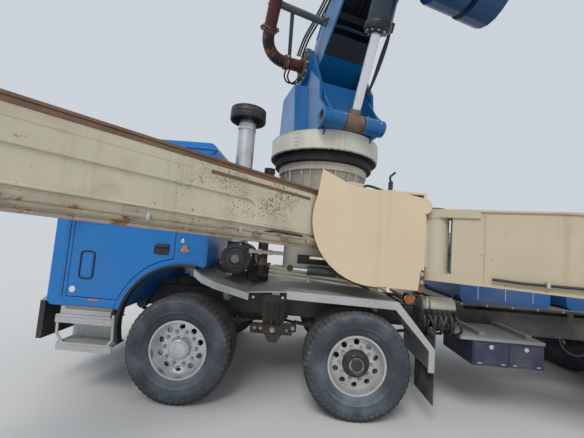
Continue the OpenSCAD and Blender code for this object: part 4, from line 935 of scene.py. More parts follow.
# ---------------------------------------------------------------- Slewing column and ring cover
# Rolled and welded column under a flanged slewing ring; the ring runs inside a cream sheet cover.
# Drips and dried concrete have run down it.
def concrete_spatter():
    """Drops and specks of dried concrete over a soft stain."""
    tree, given, out = effect("concrete_spatter", [("Paint", "Color", (0.6, 0.5, 0.4, 1)),
        ("Spots", "Color", (0.10, 0.085, 0.07, 1)), ("Amount", "Float", 0.5), ("Size", "Float", 14.0)],
        [("Color", "Color"), ("Height", "Float")])
    place = own_place(tree)
    wobble = wire(tree, "ShaderNodeTexNoise", {"Vector": place, "Scale": 25.0, "Detail": 3.0}).outputs[1]
    bent = wire(tree, "ShaderNodeMix", {0: 0.06, 4: place, 5: wobble}, data_type="VECTOR").outputs[1]
    where = noise(tree, place, 1.7, 4.0)
    cells = wire(tree, "ShaderNodeTexVoronoi", {"Vector": bent, "Scale": given.outputs["Size"]}).outputs[0]
    fine = wire(tree, "ShaderNodeTexVoronoi",
        {"Vector": bent, "Scale": figure(tree, "MULTIPLY", given.outputs["Size"], 3.1)}).outputs[0]
    need = figure(tree, "MULTIPLY", ramp(tree, where, 0.40, 0.72), given.outputs["Amount"])
    drops = between(tree, cells, figure(tree, "MULTIPLY", need, 0.42),
        figure(tree, "MULTIPLY_ADD", need, 0.42, -0.05))
    specks = between(tree, fine, figure(tree, "MULTIPLY", need, 0.34),
        figure(tree, "MULTIPLY_ADD", need, 0.34, -0.05))
    share = figure(tree, "MAXIMUM", drops, specks)
    soft = noise(tree, place, 2.6, 6.0)
    stain = figure(tree, "MULTIPLY", ramp(tree, soft, 0.50, 0.72),
        figure(tree, "MULTIPLY", given.outputs["Amount"], 0.55))
    under = blend_colour(tree, stain, given.outputs["Paint"], (0.25, 0.20, 0.145, 1))
    send(tree, out, Color=blend_colour(tree, figure(tree, "MULTIPLY", share, 0.85),
        under, given.outputs["Spots"]), Height=share)
    return tree


spatter_tree = concrete_spatter()


def spattered(name, paint, gloss, amount, wash, dirt=0.3, rust=0.15, size=14.0, dust=(0.34, 0.29, 0.22),
        spots=(0.10, 0.085, 0.07), relief=0.2):
    """Cream steel with concrete spatter over its rain runs."""
    made = enamelled(name, paint, gloss, wash, (0.22, 0.17, 0.12), dirt, rust, dust, 2.4, relief, 0.0)
    tree = made.node_tree
    chips = chips_in(tree)
    before = chips.inputs["Paint"].links[0].from_socket
    spotted = {"Paint": before, "Spots": (*spots, 1), "Amount": amount, "Size": size}
    drops = wire(tree, "ShaderNodeGroup", spotted, node_tree=spatter_tree)
    tree.links.new(drops.outputs["Color"], chips.inputs["Paint"])
    raise_relief(tree, drops.outputs["Height"], 2.0)
    return made


column_cream = spattered("column_cream", (0.60, 0.56, 0.46), 0.5, 0.35, 0.35)
cover_cream = spattered("cover_cream", (0.66, 0.63, 0.54), 0.45, 0.25, 0.45)
# Near black painted as the shade in the gap under the ring cover.
gap_shade = weathered("ring_gap_painted_shade", (0.012, 0.012, 0.013), 0.7, (0.10, 0.09, 0.08), 0.4, 0.0, 6.0, relief=0.3)
dress(["pedestal"], column_cream, cover_cream, gap_shade)
slew_x = 0.400


def column_face(middle, facing):
    on_cover = hypot(middle.x - slew_x, middle.y) > 0.755 and middle.z > 2.905
    # Faces in the gap under the cover take the painted gap shade.
    return 1 if on_cover else 2 if middle.z > 2.895 else 0


finish_faces("pedestal", column_face)
ring = Piece("ring_dressing", "chassis", cover_cream, gap_shade, column_cream, nut_steel, cast_iron)
hub = at(slew_x, 0, 0)
up_y = Matrix(((1, 0, 0, 0), (0, 0, -1, 0), (0, 1, 0, 0), (0, 0, 0, 1)))
ring.lathe([(0.762, 3.136), (0.776, 3.139), (0.778, 3.146), (0.772, 3.1515), (0.762, 3.150)], 96, 0, hub @ up_y)
ring.lathe(band(0.774, 0.7795, 2.912, 2.932, 0.004), 96, 0, hub @ up_y)
# Band of the slewing ring in the gap under the cover, painted near black as the gap's shade.
ring.lathe([(0.634, 2.786), (0.700, 2.790), (0.704, 2.800), (0.704, 2.862), (0.698, 2.870), (0.690, 2.872),
    (0.690, 2.905)], 96, 1, hub @ up_y)
for a in (1.02, 2.95, 4.6):
    seam = hub @ spun(a, "Z")
    ring.block((0.770, -0.022, 2.925), (0.7795, 0.022, 3.138), 0.003, 0, seam)
    for k in range(4):
        for dy in (-0.011, 0.011):
            ring.nut(0.012, 0.005, 3, seam @ moved(0.779, dy, 2.955 + 0.052 * k) @ along_x, 0.002)
ring.lathe([(0.598, 2.680), (0.634, 2.686), (0.638, 2.694), (0.638, 2.778), (0.632, 2.786),
    (0.598, 2.788)], 96, 2, hub @ up_y)
for k in range(12):
    rib_at = hub @ spun(2 * pi * k / 12 + 0.2, "Z")
    ring.slab([(0.598, 2.35), (0.606, 2.35), (0.632, 2.70), (0.632, 2.786), (0.598, 2.786)],
        0.012, 2, rib_at @ moved(0, -0.006, 0), 0.002)
ring.lathe([(0.602, 2.772), (0.612, 2.764), (0.604, 2.756)], 72, 2, hub @ up_y)
ring.lathe([(0.482, 2.366), (0.490, 2.356), (0.481, 2.348)], 72, 2, hub @ up_y)
ring.make()

# ---------------------------------------------------------------- Leg housings
# Folded sleeves welded to the column; the outer plates are flame cut, painted tan and scratched.
# The hinge barrels for the rear legs stand behind them.
housing_tan = spattered("housing_tan", (0.665, 0.535, 0.365), 0.42, 0.10, 0.10, 0.10, 0.05, 10.0, (0.50, 0.42, 0.30),
    (0.30, 0.20, 0.12), 0.10)
housing_cream = spattered("housing_cream", (0.56, 0.49, 0.37), 0.5, 0.30, 0.35)
dress(["leg_housings"], housing_cream, housing_tan)


def housing_face(middle, facing):
    out = abs(middle.y)
    return 1 if out > 1.2795 or (out > 1.279 and abs(facing.y) > 0.9) else 0


finish_faces("leg_housings", housing_face)
rust_edge = weathered("rusty_edge", (0.15, 0.085, 0.055), 0.7, (0.24, 0.19, 0.14), 0.7, 0.8, 4.0, relief=0.5)
hose_black = weathered("hose_black", (0.014, 0.014, 0.015), 0.5, (0.14, 0.12, 0.10), 0.6, 0.0, 6.0, relief=0.3)
# Dark brown painted as the shade in slots and hollow ends.
shade_brown = weathered("painted_shade_brown", (0.050, 0.032, 0.022), 0.8, (0.10, 0.075, 0.055), 0.4, 0.1, 9.0, relief=0.3)
plate_trim = Piece("housing_dressing", "chassis", housing_tan, rust_edge, hose_black, nut_steel,
    housing_cream, shade_brown)


def housing_parts(place):
    # Weld bead where the sleeve's floor and roof meet the plate
    curve = [(-0.092 + 0.655 * cos(radians(a)), 2.013 + 0.655 * sin(radians(a))) for a in range(18, -96, -5)]
    plate_trim.tube([(x, 1.2785, z) for x, z in curve], 0.006, 6, 1, place)
    # Hydraulic fitting with its rusty end above the plate
    plate_trim.tube([(0.05, 1.20, 2.375), (0.16, 1.20, 2.385), (0.22, 1.20, 2.390)], 0.030, 12, 4, place)
    plate_trim.tube([(0.22, 1.20, 2.390), (0.27, 1.20, 2.395)], 0.036, 12, 1, place)
    # The cap's hollow end is painted dark brown as shade.
    plate_trim.lathe([(0.036, 0), (0.036, 0.018), (0.030, 0.020), (0.018, 0.012), (tip, 0.012)],
        14, 5, place @ moved(0.27, 1.20, 2.395) @ along_x)
    plate_trim.tube([(0.06, 1.19, 2.37), (-0.02, 1.15, 2.40), (-0.16, 1.10, 2.38),
        (-0.30, 1.02, 2.36)], 0.014, 8, 2, place, 5)
    # Small hand valve standing behind the plate's top edge
    plate_trim.block((-0.262, 1.175, 2.36), (-0.222, 1.215, 2.455), 0.006, 2, place)
    plate_trim.tube([(-0.242, 1.195, 2.45), (-0.232, 1.195, 2.50), (-0.262, 1.195, 2.535),
        (-0.285, 1.195, 2.555)], 0.012, 8, 2, place, 3)
    # Stops and pins at the hinge barrel
    for z in (1.552, 2.104):
        plate_trim.lathe([(0.149, z - 0.012), (0.149, z + 0.012), (0.144, z + 0.016)],
            40, 4, place @ moved(-0.750, 1.120, 0) @ up_y)
    plate_trim.block((-0.60, 1.262, 1.335), (-0.535, 1.283, 1.60), 0.003, 1, place)
    for z in (1.44, 1.52):
        plate_trim.nut(0.028, 0.016, 3, place @ moved(-0.56, 1.30, z), 0.004)


left_and_right(housing_parts)
plate_trim.make()

# ---------------------------------------------------------------- Outrigger legs and jacks
# Box beams welded from four plates, doubled along their upper half. Rust creeps along the top
# flange, and dried concrete lies along the lower one. The jacks are ground tubes on round feet.
leg_cream = spattered("leg_cream", (0.62, 0.56, 0.415), 0.5, 0.9, 0.25, 0.2, 0.25, 44.0, spots=(0.06, 0.05, 0.042))
leg_grime = spattered("leg_grime", (0.40, 0.33, 0.25), 0.65, 1.3, 0.5, 0.6, 0.6, 30.0)
jack_grey = weathered("jack_grey", (0.42, 0.42, 0.41), 0.35, (0.30, 0.26, 0.20), 0.5, 0.3, 4.0, metal=0.6, relief=0.2)
dress(["front_jack_left", "front_jack_right", "rear_jack_left", "rear_jack_right"], jack_grey)


def round_foot(leg_name, place, root, angle, reach, *finishes):
    """Ribbed foot plate on a leg's jack, with its rusty edge."""
    foot = Piece(leg_name.replace("leg", "foot"), leg_name.replace("leg", "jack"), *finishes)
    foot_at = place @ moved(root[0] + reach * cos(angle), root[1] + reach * sin(angle), 0)
    foot.lathe([(0.205, 0.006), (0.2095, 0.012), (0.2095, 0.032), (0.205, 0.040),
        (0.180, 0.0415)], 48, 1, foot_at @ up_y)
    for a in range(6):
        rib = foot_at @ spun(a * pi / 3, "Z")
        foot.slab([(0.075, 0.040), (0.195, 0.040), (0.190, 0.050), (0.090, 0.105), (0.075, 0.105)],
            0.012, 0, rib @ moved(0, -0.006, 0), 0.002)
    foot.make()


def leg_face(middle, facing):
    if middle.x >= 2.95:
        return 0
    return 1 if middle.z > 0.2845 else 2 if middle.z < -0.284 else 0


front_root, front_angle, front_reach = (0.700, 1.168, 1.995), radians(42), 3.140
leg_slope = radians(-2.6)
near, far = -0.35, 2.97  # ends of the bands along the leg
for side_name, side in (("left", 1), ("right", -1)):
    place = beside(side)
    mouth = place @ moved(*front_root) @ spun(front_angle, "Z")
    root = mouth @ spun(leg_slope, "Y")
    name = "front_leg_" + side_name
    dress([name], leg_cream, rust_edge, leg_grime)
    finish_faces(name, leg_face, root.inverted())
    leg = Piece(name + "_dressing", name, leg_cream, rust_edge, leg_grime, shade_brown,
        hose_black, nut_steel, jack_grey)
    for face_side in (1, -1):
        web = root @ handed(face_side) @ moved(0, 0.150, 0)
        bend = [(0.75, 0.045)] + [(0.75 - 0.10 * sin(radians(t)), -0.055 + 0.10 * cos(radians(t)))
            for t in range(10, 95, 12)] + [(0.648, -0.150)]
        leg.slab([(far, 0.283), (near, 0.283), (near, -0.150)] + bend[::-1] + [(far, 0.045)], 0.013, 0, web, 0.004)
        leg.slab([(far, 0.283), (near, 0.283), (near, 0.252), (far, 0.247)], 0.017, 1, web, 0.003)
        leg.slab([(far, -0.150), (0.655, -0.150), (near, -0.150), (near, -0.170),
            (far, -0.170)], 0.016, 0, web, 0.005)
        leg.slab(upright((far, -0.272), (near, -0.2845)), 0.020, 2, web, 0.004)
        # Slot along the web, painted dark brown as the shade inside it, with a rusty rim, and a shallower cream slot
        # further out.
        leg.slab([(0.02, 0.178), (0.02, 0.206), (1.10, 0.206), (1.10, 0.178)], 0.0150, 3, web, 0.001)
        leg.slab(ring_line([(0.02, 0.178), (0.02, 0.206), (1.10, 0.206), (1.10, 0.178)],
            0.003, 3), 0.0160, 1, web, 0.0)
        leg.slab(ring_line([(1.25, 0.182), (1.25, 0.206), (2.35, 0.206), (2.35, 0.182)],
            0.011, 3), 0.0150, 0, web, 0.0)
        for x in (0.30, 0.62, 1.6, 2.5):
            leg.block((x - 0.035, 0.006, -0.262), (x + 0.035, 0.030, -0.178), 0.004, 2, web)
        # Supply line clipped along the lower flange
        if face_side > 0:
            leg.tube([(-0.2, 0.036, -0.222), (0.5, 0.036, -0.220), (0.95, 0.034, -0.214), (1.1, 0.03, -0.228),
                (2.92, 0.030, -0.232)], 0.015, 8, 2, web, 3)
            leg.tube([(0.1, 0.040, -0.196), (0.42, 0.044, -0.190), (0.52, 0.040, -0.206),
                (0.60, 0.034, -0.230)], 0.011, 8, 4, web, 5)
            for x in (0.02, 0.80, 1.5, 2.2, 2.8):
                leg.block((x - 0.012, 0.010, -0.250), (x + 0.012, 0.056, -0.196), 0.004, 5, web)
    head = mouth @ moved(2.96, 0, 0.136)
    jack_top = head @ moved(0.18, 0, 0)
    leg.lathe([(0.106, 0.305), (0.112, 0.312), (0.112, 0.352), (0.104, 0.360),
        (0.101, 0.376)], 40, 6, jack_top @ up_y)
    for a in range(8):
        spot = jack_top @ spun(a * pi / 4, "Z")
        leg.nut(0.022, 0.014, 5, spot @ moved(0.125, 0, 0.306) @ quarter_x, 0.004)
    leg.tube([(0.05, 0.10, 0.31), (0.12, 0.08, 0.37), (0.18, 0.11, 0.34), (0.17, 0.155, 0.20),
        (0.10, 0.158, 0.05)], 0.011, 8, 4, head, 5)
    leg.make()
    round_foot(name, place, front_root, front_angle, front_reach, jack_grey, rust_edge, nut_steel)

rear_cream = spattered("rear_leg_cream", (0.545, 0.455, 0.315), 0.48, 0.35, 0.2, 0.2, 0.15, 12.0)
rear_root, rear_angle, rear_reach = (-0.750, 1.120, 1.460), radians(155), 5.590
for side_name, side in (("left", 1), ("right", -1)):
    place = beside(side)
    root = place @ moved(*rear_root) @ spun(rear_angle, "Z")
    name = "rear_leg_" + side_name
    dress([name], rear_cream)
    leg = Piece(name + "_dressing", name, rear_cream, rust_edge, hose_black, nut_steel, jack_grey, shade_brown)
    for face_side in (1, -1):
        web = root @ handed(face_side) @ moved(0, 0.130, 0)
        leg.slab([(0.19, 0.0), (1.21, 0.0), (5.40, 0.158), (5.40, 0.178), (1.20, 0.022),
            (0.19, 0.022)], 0.016, 0, web, 0.004)
        leg.slab([(0.19, 0.706), (1.00, 0.706), (5.40, 0.580), (5.40, 0.600), (1.00, 0.7285),
            (0.19, 0.7285)], 0.016, 0, web, 0.004)
        leg.tube([(0.44, 0.003, 0.03), (0.44, 0.003, 0.70)], 0.005, 6, 0, web)
        for x in (1.6, 3.1, 4.6):
            leg.slab(upright((x, 0.12 + 0.025 * x), (x + 0.05, 0.62 - 0.02 * x)), 0.008, 0, web, 0.003)
        leg.tube([(0.50, 0.028, 0.080), (1.20, 0.028, 0.085), (5.2, 0.028, 0.235)], 0.013, 8, 2, web, 3)
        for x in (0.9, 2.0, 3.2, 4.4):
            z = 0.075 + max(0, x - 1.2) * 0.0375
            leg.block((x - 0.014, 0.002, z - 0.02), (x + 0.014, 0.044, z + 0.035), 0.004, 3, web)
    # Pin head above the lugs with its keeper
    leg.lathe([(0.100, 0.730), (0.100, 0.746), (0.092, 0.752), (0.060, 0.752), (0.055, 0.746),
        (tip, 0.746)], 36, 1, root @ up_y)
    leg.block((-0.02, 0.055, 0.730), (0.02, 0.135, 0.742), 0.003, 3, root)
    leg.nut(0.024, 0.014, 3, root @ moved(0, 0.115, 0.741) @ quarter_x, 0.004)
    leg.tube([(0.10, 0.16, 0.62), (0.0, 0.20, 0.55), (-0.10, 0.17, 0.45), (0.05, 0.165, 0.32),
        (0.30, 0.158, 0.22)], 0.012, 8, 2, root, 5)
    end = root @ moved(5.41, 0, 0.160)
    leg.lathe([(0.102, 0.452), (0.112, 0.458), (0.112, 0.500), (0.104, 0.508)], 40, 4, end @ moved(0.18, 0, 0) @ up_y)
    leg.make()
    round_foot(name, place, rear_root, rear_angle, rear_reach, jack_grey, rust_edge)

# ---------------------------------------------------------------- Slewing turret
# Welded blue tower on the ring: two cheek plates, folded side boxes and bored bosses. The enamel
# is glossy on its front, faded on its sides, and rusty round the pins. Between the cheeks it is
# painted a deep blue as shade.
tower_blue = enamelled("tower_blue", (0.003, 0.125, 0.35), 0.30, 0.18, (0.03, 0.10, 0.18),
    0.14, 0.08, (0.13, 0.17, 0.20), 2.0, 0.05, 0.15)
faded_blue = enamelled("faded_blue", (0.13, 0.27, 0.50), 0.42, 0.45, (0.28, 0.32, 0.36),
    0.35, 0.10, (0.30, 0.33, 0.36), 2.0, 0.08, 0.05)
# Deep blue that is painted shade: the folded sections seen from below, the faces between the turret's cheeks and the
# pipe inside the boom's belly.
painted_shade_blue = enamelled("painted_shade_blue", (0.006, 0.055, 0.16), 0.40, 0.45, (0.05, 0.06, 0.06),
    0.35, 0.25, (0.10, 0.10, 0.10), 2.4, 0.10, 0.05)
# Nearly black painted as the shade inside the boom's open belly.
belly_painted_shade = weathered("boom_inside_painted_shade", (0.006, 0.014, 0.030), 0.6, (0.05, 0.05, 0.05), 0.5, 0.2, 4.0, relief=0.2)
pin_rust = weathered("pin_rust", (0.21, 0.17, 0.13), 0.62, (0.24, 0.19, 0.14), 0.7, 0.75, 12.0, metal=0.3, relief=0.5)
grease_black = weathered("grease_black", (0.010, 0.010, 0.011), 0.32, (0.10, 0.09, 0.08), 0.5, 0.1, 7.0, relief=0.35)
turret_at = at(slew_x, 0, 0) @ spun(radians(110), "Z")
towards = turret_at.inverted()
dress(["turret"], tower_blue, faded_blue, painted_shade_blue, pin_rust)
foot_pin, lift_pin = (0.06, 0, 4.28), (0.80, 0, 3.26)


def turret_face(middle, facing):
    from_foot, from_pin = [hypot(middle.x - pin[0], middle.z - pin[2]) for pin in (foot_pin, lift_pin)]
    if (from_foot < 0.118 or from_pin < 0.07) and abs(facing.y) < 0.5:
        return 3
    if facing.x < 0.35 and abs(middle.y) > 0.402 and abs(facing.y) > 0.3 and middle.z < 3.95:
        return 1
    # Faces between the cheeks get the deep blue painted as shade.
    return 2 if abs(middle.y) < 0.35 and middle.x < 0.44 else 0


finish_faces("turret", turret_face, towards)
tower = Piece("turret_dressing", "turret", tower_blue, faded_blue, painted_shade_blue, pin_rust,
    grease_black, nut_steel, hose_black)
for side in (1, -1):
    cheek = turret_at @ handed(side)
    # Hub rim with its bolts, and the rusty pin collar inside it
    ring_on, eye_on = cheek @ moved(*foot_pin), cheek @ moved(*lift_pin)
    tower.lathe([(0.243, 0.440), (0.2515, 0.441), (0.2515, 0.452), (0.246, 0.456), (0.182, 0.456),
        (0.178, 0.450)], 48, 2, ring_on)
    tower.lathe([(0.172, 0.452), (0.172, 0.474), (0.164, 0.478), (0.120, 0.478), (0.116, 0.472)], 40, 3, ring_on)
    nut_ring(tower, ring_on, 12, 0.214, 0.455, 0.026, 0.014, 5, 0.004, 0.2)
    # Weld bead along the foot of the cheek, and the lifting eye's rim
    tower.tube([(-0.55, 0.404, 2.997), (0.60, 0.404, 2.997)], 0.007, 6, 0, cheek)
    tower.lathe([(0.104, 0.418), (0.1055, 0.424), (0.100, 0.4285), (0.070, 0.4285), (0.064, 0.422)], 32, 0, eye_on)
    tower.lathe(band(0.104, 0.108, 0.130, 0.143, 0.003), 32, 3, eye_on)
    tower.lathe([(0.104, 0.366), (0.112, 0.361), (0.114, 0.352), (0.104, 0.340)], 32, 0, eye_on)
    # Gusset from the front plate's top down to the boss
    tower.slab([(0.474, 3.00), (0.66, 3.00), (0.72, 3.12), (0.875, 3.30), (0.862, 3.345), (0.486, 3.862),
        (0.474, 3.862)], 0.022, 0, cheek @ moved(0, 0.322, 0), 0.004)
    tower.tube([(0.478, 0.321, 3.02), (0.478, 0.321, 3.85)], 0.008, 6, 0, cheek)
    for z in (3.10, 3.34, 3.58):
        tower.nut(0.030, 0.018, 5, cheek @ moved(0.476, 0.22, z) @ along_x, 0.006)
# Rolled lips along the plates' tops, and grease nipples at the bosses
for x, z in ((0.462, 3.872), (-0.488, 3.602)):
    tower.tube([(x, -0.362, z), (x, 0.362, z)], 0.013, 10, 0, turret_at)
for y in (-0.30, 0.22):
    tower.lathe([(0.010, 0), (0.010, 0.012), (0.006, 0.015), (0.006, 0.026), (tip, 0.027)],
        8, 5, turret_at @ moved(0.80, y, 3.364) @ quarter_x)
# Hoses that climb inside the tower from the swivel to the boom
for k, y in enumerate((-0.10, -0.05, 0.0, 0.05, 0.10)):
    tower.tube([(0.05 + 0.02 * k, y, 2.96), (-0.02, y * 1.3, 3.35), (-0.12 + 0.02 * k, y * 1.6, 3.75),
        (-0.16, y * 1.5, 4.00)], 0.015, 8, 6, turret_at, 6)
tower.make()

# ---------------------------------------------------------------- Boom sections
# Tapered box sections welded from thin plate, open along the first one's belly. They are hinged by
# pins at bosses. The outer plates are faded; the inner ones are painted nearly black as shade, with
# some grease, and the folded sections are painted deep blue as the shade they hang in.
boom_rise = radians(42)
boom_at = turret_at @ moved(*foot_pin) @ spun(-boom_rise, "Y")
along = boom_at.inverted()
dress(["boom_1"], tower_blue, faded_blue, belly_painted_shade, pin_rust)


def boom_face(middle, facing):
    # Faces inside the open belly take the nearly black painted shade.
    if abs(middle.y) < 0.2975 and middle.x > 0.2:
        return 2
    return 3 if hypot(middle.x, middle.z) < 0.12 else 1 if abs(facing.y) > 0.6 else 0


finish_faces("boom_1", boom_face, along)
# The folded sections are painted deep blue as the shade they hang in, seen from below.
dress(["boom_2", "boom_3", "boom_4"], painted_shade_blue, faded_blue)
trim = Piece("boom_1_dressing", "boom_1", tower_blue, faded_blue, belly_painted_shade, pin_rust,
    hose_black, nut_steel, painted_shade_blue)
for side in (1, -1):
    web = boom_at @ handed(side) @ moved(0, 0.310, 0)
    # Flange strips on the webs' edges, and doublers round the foot and the lift pin
    trim.slab([(0.34, 0.206), (7.55, 0.168), (7.55, 0.198), (0.34, 0.236)], 0.012, 1, web, 0.003)
    trim.slab([(0.34, -0.240), (1.17, -0.300), (1.72, -0.528), (3.30, -0.488), (3.30, -0.518), (1.70, -0.558),
        (1.15, -0.328), (0.34, -0.268)], 0.012, 1, web, 0.003)
    disc = [(2.80 + 0.20 * cos(2 * pi * k / 28), 0.06 + 0.20 * sin(2 * pi * k / 28)) for k in range(28)]
    trim.slab(disc, 0.014, 0, web, 0.004)
    trim.lathe([(0.075, 0.010), (0.075, 0.026), (0.068, 0.031), (tip, 0.031)], 28, 3, web @ moved(2.80, 0, 0.06))
    trim.block((2.68, 0.012, 0.045), (2.74, 0.024, 0.075), 0.003, 5, web)
    for x in (1.5, 4.2, 5.6, 6.9):
        trim.tube([(x, 0.003, -0.40), (x + 0.02, 0.003, 0.19)], 0.005, 6, 1, web)
# Hose bundle clipped along the upper left edge, from the foot to the tip
for k in range(4):
    z = 0.262 + 0.034 * (k % 2)
    y = -0.26 + 0.036 * k
    trim.tube([(0.30, y + 0.04, 0.14), (0.62, y, z), (2.0, y, z - 0.006), (4.5, y, z - 0.018), (7.4, y, z - 0.03),
        (8.0, y, 0.16)], 0.014, 8, 4, boom_at, 3)
for x in (0.95, 1.9, 2.9, 3.9, 4.9, 5.9, 6.9):
    trim.block((x - 0.02, -0.285, 0.236 - 0.005 * x), (x + 0.02, -0.125, 0.250 - 0.005 * x), 0.003, 5, boom_at)
    trim.tube([(x, y, z - 0.005 * x) for y, z in ((-0.285, 0.235), (-0.288, 0.318), (-0.12, 0.318), (-0.118, 0.235))],
        0.006, 6, 5, boom_at)
# Lines inside the open belly, with their bent crossing pipe
for y in (-0.18, -0.12, 0.12, 0.20):
    trim.tube([(0.45, y, 0.12), (1.4, y, 0.14), (3.2, y, 0.15)], 0.012, 8, 4, boom_at, 3)
# The crossing pipe is painted deep blue as shade inside the belly.
trim.tube([(0.62, -0.290, -0.12), (0.64, 0.0, -0.15), (0.62, 0.290, -0.12)], 0.022, 10, 6, boom_at, 4)
trim.make()


def arm_trim(name, root, sign, length, half, y, wide):
    """Hinge discs and weld seams on one folded section, which runs from its root along the first
    section or, with a sign of -1, back against it. Half is half its depth, wide its thickness."""
    place = boom_at @ moved(root[0], y, root[1]) @ Matrix.Diagonal((sign, 1, 1, 1))
    made = Piece(name + "_dressing", name, painted_shade_blue, pin_rust, hose_black, nut_steel, faded_blue)
    for face_side in (1, -1):
        side_at = place @ handed(face_side) @ moved(0, wide / 2, 0)
        made.lathe([(half * 0.52, 0.0), (half * 0.52, 0.016), (half * 0.46, 0.022), (half * 0.30, 0.022),
            (half * 0.27, 0.018)], 36, 0, side_at)
        made.lathe([(0.068, 0.0), (0.068, 0.030), (0.060, 0.036), (tip, 0.036)], 28, 1, side_at)
        made.block((-0.03, 0.022, half * 0.30), (0.03, 0.034, half * 0.44), 0.003, 3, side_at)
        for k in range(5):
            x = length * (0.14 + 0.17 * k)
            made.tube([(x, 0.002, -half * 0.62), (x, 0.002, half * 0.62)], 0.005, 6, 0, side_at)
    return made, place


second, second_at = arm_trim("boom_2", (8.70, -0.866), -1, 7.35, 0.25, 0.560, 0.380)
for k in range(3):
    second.tube([(0.55, 0.06 + 0.03 * k, 0.245), (1.2, 0.05 + 0.03 * k, 0.262), (6.6, 0.05 + 0.03 * k, 0.225),
        (7.0, 0.05 + 0.03 * k, 0.20)], 0.013, 8, 2, second_at, 3)
for x in (1.6, 2.9, 4.2, 5.5):
    second.block((x - 0.02, 0.02, 0.235 - 0.004 * x), (x + 0.02, 0.14, 0.250 - 0.004 * x), 0.003, 3, second_at)
second.make()
third, third_at = arm_trim("boom_3", (1.35, -0.866), 1, 7.45, 0.22, 0.985, 0.330)
for k in range(2):
    third.tube([(0.5, 0.05 + 0.03 * k, -0.215), (1.1, 0.05 + 0.03 * k, -0.226), (6.6, 0.05 + 0.03 * k, -0.186)],
        0.013, 8, 2, third_at, 3)
third.make()
fourth, fourth_at = arm_trim("boom_4", (8.80, -0.336), -1, 7.10, 0.15, 0.985, 0.240)
fourth.tube([(6.86, 0, 0.0), (7.10, 0, -0.02), (7.16, 0, -0.02)], 0.072, 20, 1, fourth_at)
fourth.lathe(band(0.066, 0.078, -0.070, -0.046, 0.004), 28, 3, fourth_at @ moved(7.16, 0, 0))
fourth.make()

# ---------------------------------------------------------------- Concrete pipe on the boom
# Hardened pipe and cast elbows joined by bolted clamps. The pipe is dull maroon, and the elbow has
# gone black and rusty. Tube brackets with struts hold it off the web.
pipe_maroon = weathered("pipe_maroon", (0.105, 0.020, 0.024), 0.5, (0.16, 0.10, 0.08), 0.5, 0.45, 5.0, relief=0.3,
    rust_tint=(0.05, 0.03, 0.025, 1))
elbow_black = weathered("elbow_black", (0.020, 0.014, 0.013), 0.5, (0.22, 0.045, 0.025), 0.9, 0.6, 3.2, relief=0.35,
    rust_tint=(0.22, 0.05, 0.025, 1))
clamp_brown = weathered("clamp_brown", (0.085, 0.055, 0.040), 0.6, (0.20, 0.15, 0.11), 0.6, 0.8, 14.0, relief=0.5)
bracket_green = weathered("bracket_green", (0.075, 0.105, 0.105), 0.5, (0.22, 0.22, 0.20),
    0.6, 0.45, 6.0, relief=0.25)
dress(["boom_pipe"], pipe_maroon, elbow_black, bracket_green)


def pipe_face(middle, facing):
    if middle.y >= -0.93 and middle.x >= 0.40:
        return 2
    return 1 if middle.x < 0.33 and middle.y < -0.70 else 0


finish_faces("boom_pipe", pipe_face, along)
pipe = Piece("pipe_dressing", "boom_1", clamp_brown, pipe_maroon, bracket_green, nut_steel, hose_black, elbow_black)


def pipe_clamp(place):
    """Two-part coupling round a pipe joint, closed by a bolt at each side."""
    pipe.lathe(both_ways([(0.081, 0.034), (0.094, 0.034), (0.100, 0.028), (0.100, 0.014), (0.092, 0.008)]),
        40, 0, place)
    for a in (0, pi):
        ear = place @ spun(a, "Y")
        pipe.block((0.092, -0.026, -0.020), (0.138, 0.026, 0.020), 0.005, 0, ear)
        pipe.tube([(0.118, 0, -0.044), (0.118, 0, 0.044)], 0.009, 8, 3, ear)
        pipe.nut(0.030, 0.018, 3, ear @ moved(0.118, 0, 0.020) @ quarter_x, 0.010)


pipe_clamp(boom_at @ moved(0.335, -1.040, 0) @ along_x @ spun(0.5, "Y"))
pipe_clamp(boom_at @ moved(0, -0.715, 0) @ spun(0.9, "Y"))
for x in (2.40, 4.50, 6.60):
    pipe_clamp(boom_at @ moved(x, -1.040, 0) @ along_x @ spun(0.3 * x, "Y"))
pipe.lathe([(0.081, -0.530), (0.092, -0.524), (0.092, -0.500), (0.100, -0.494), (0.100, -0.482)], 40, 5, boom_at)
for x in (0.605, 2.705, 4.805, 6.905):
    # Saddle under the pipe, U-bolt over it, foot plate on the web and the slanted strut
    bow = [(-1.130, 0.0), (-1.105, 0.066), (-1.040, 0.0925), (-0.975, 0.066), (-0.950, 0.0), (-0.952, -0.05)]
    pipe.tube([(x - 0.02, y, z) for y, z in bow], 0.009, 8, 3, boom_at, 5)
    pipe.block((x - 0.035, -0.336, 0.000), (x + 0.065, -0.312, 0.120), 0.005, 2, boom_at)
    for dx, dz in ((-0.022, 0.016), (0.052, 0.016), (-0.022, 0.104), (0.052, 0.104)):
        pipe.nut(0.020, 0.012, 3, boom_at @ moved(x + dx, -0.335, dz) @ spun(pi, "Z"), 0.004)
    pipe.lathe(band(0.043, 0.052, 0.0, 0.024, 0.004), 24, 2, boom_at @ moved(x + 0.012, -0.372, 0.056))
# Strut from the first bracket down to the elbow's lower clamp, with the stay's eye
pipe.tube([(0.600, -0.800, 0.030), (0.020, -0.665, 0.075)], 0.026, 12, 2, boom_at)
pipe.lathe(band(0.040, 0.046, -0.03, 0.03, 0.004), 20, 2, boom_at @ moved(0.02, -0.665, 0.075))
pipe.tube([(0.02, -0.665, 0.03), (0.02, -0.665, 0.13)], 0.016, 10, 3, boom_at)
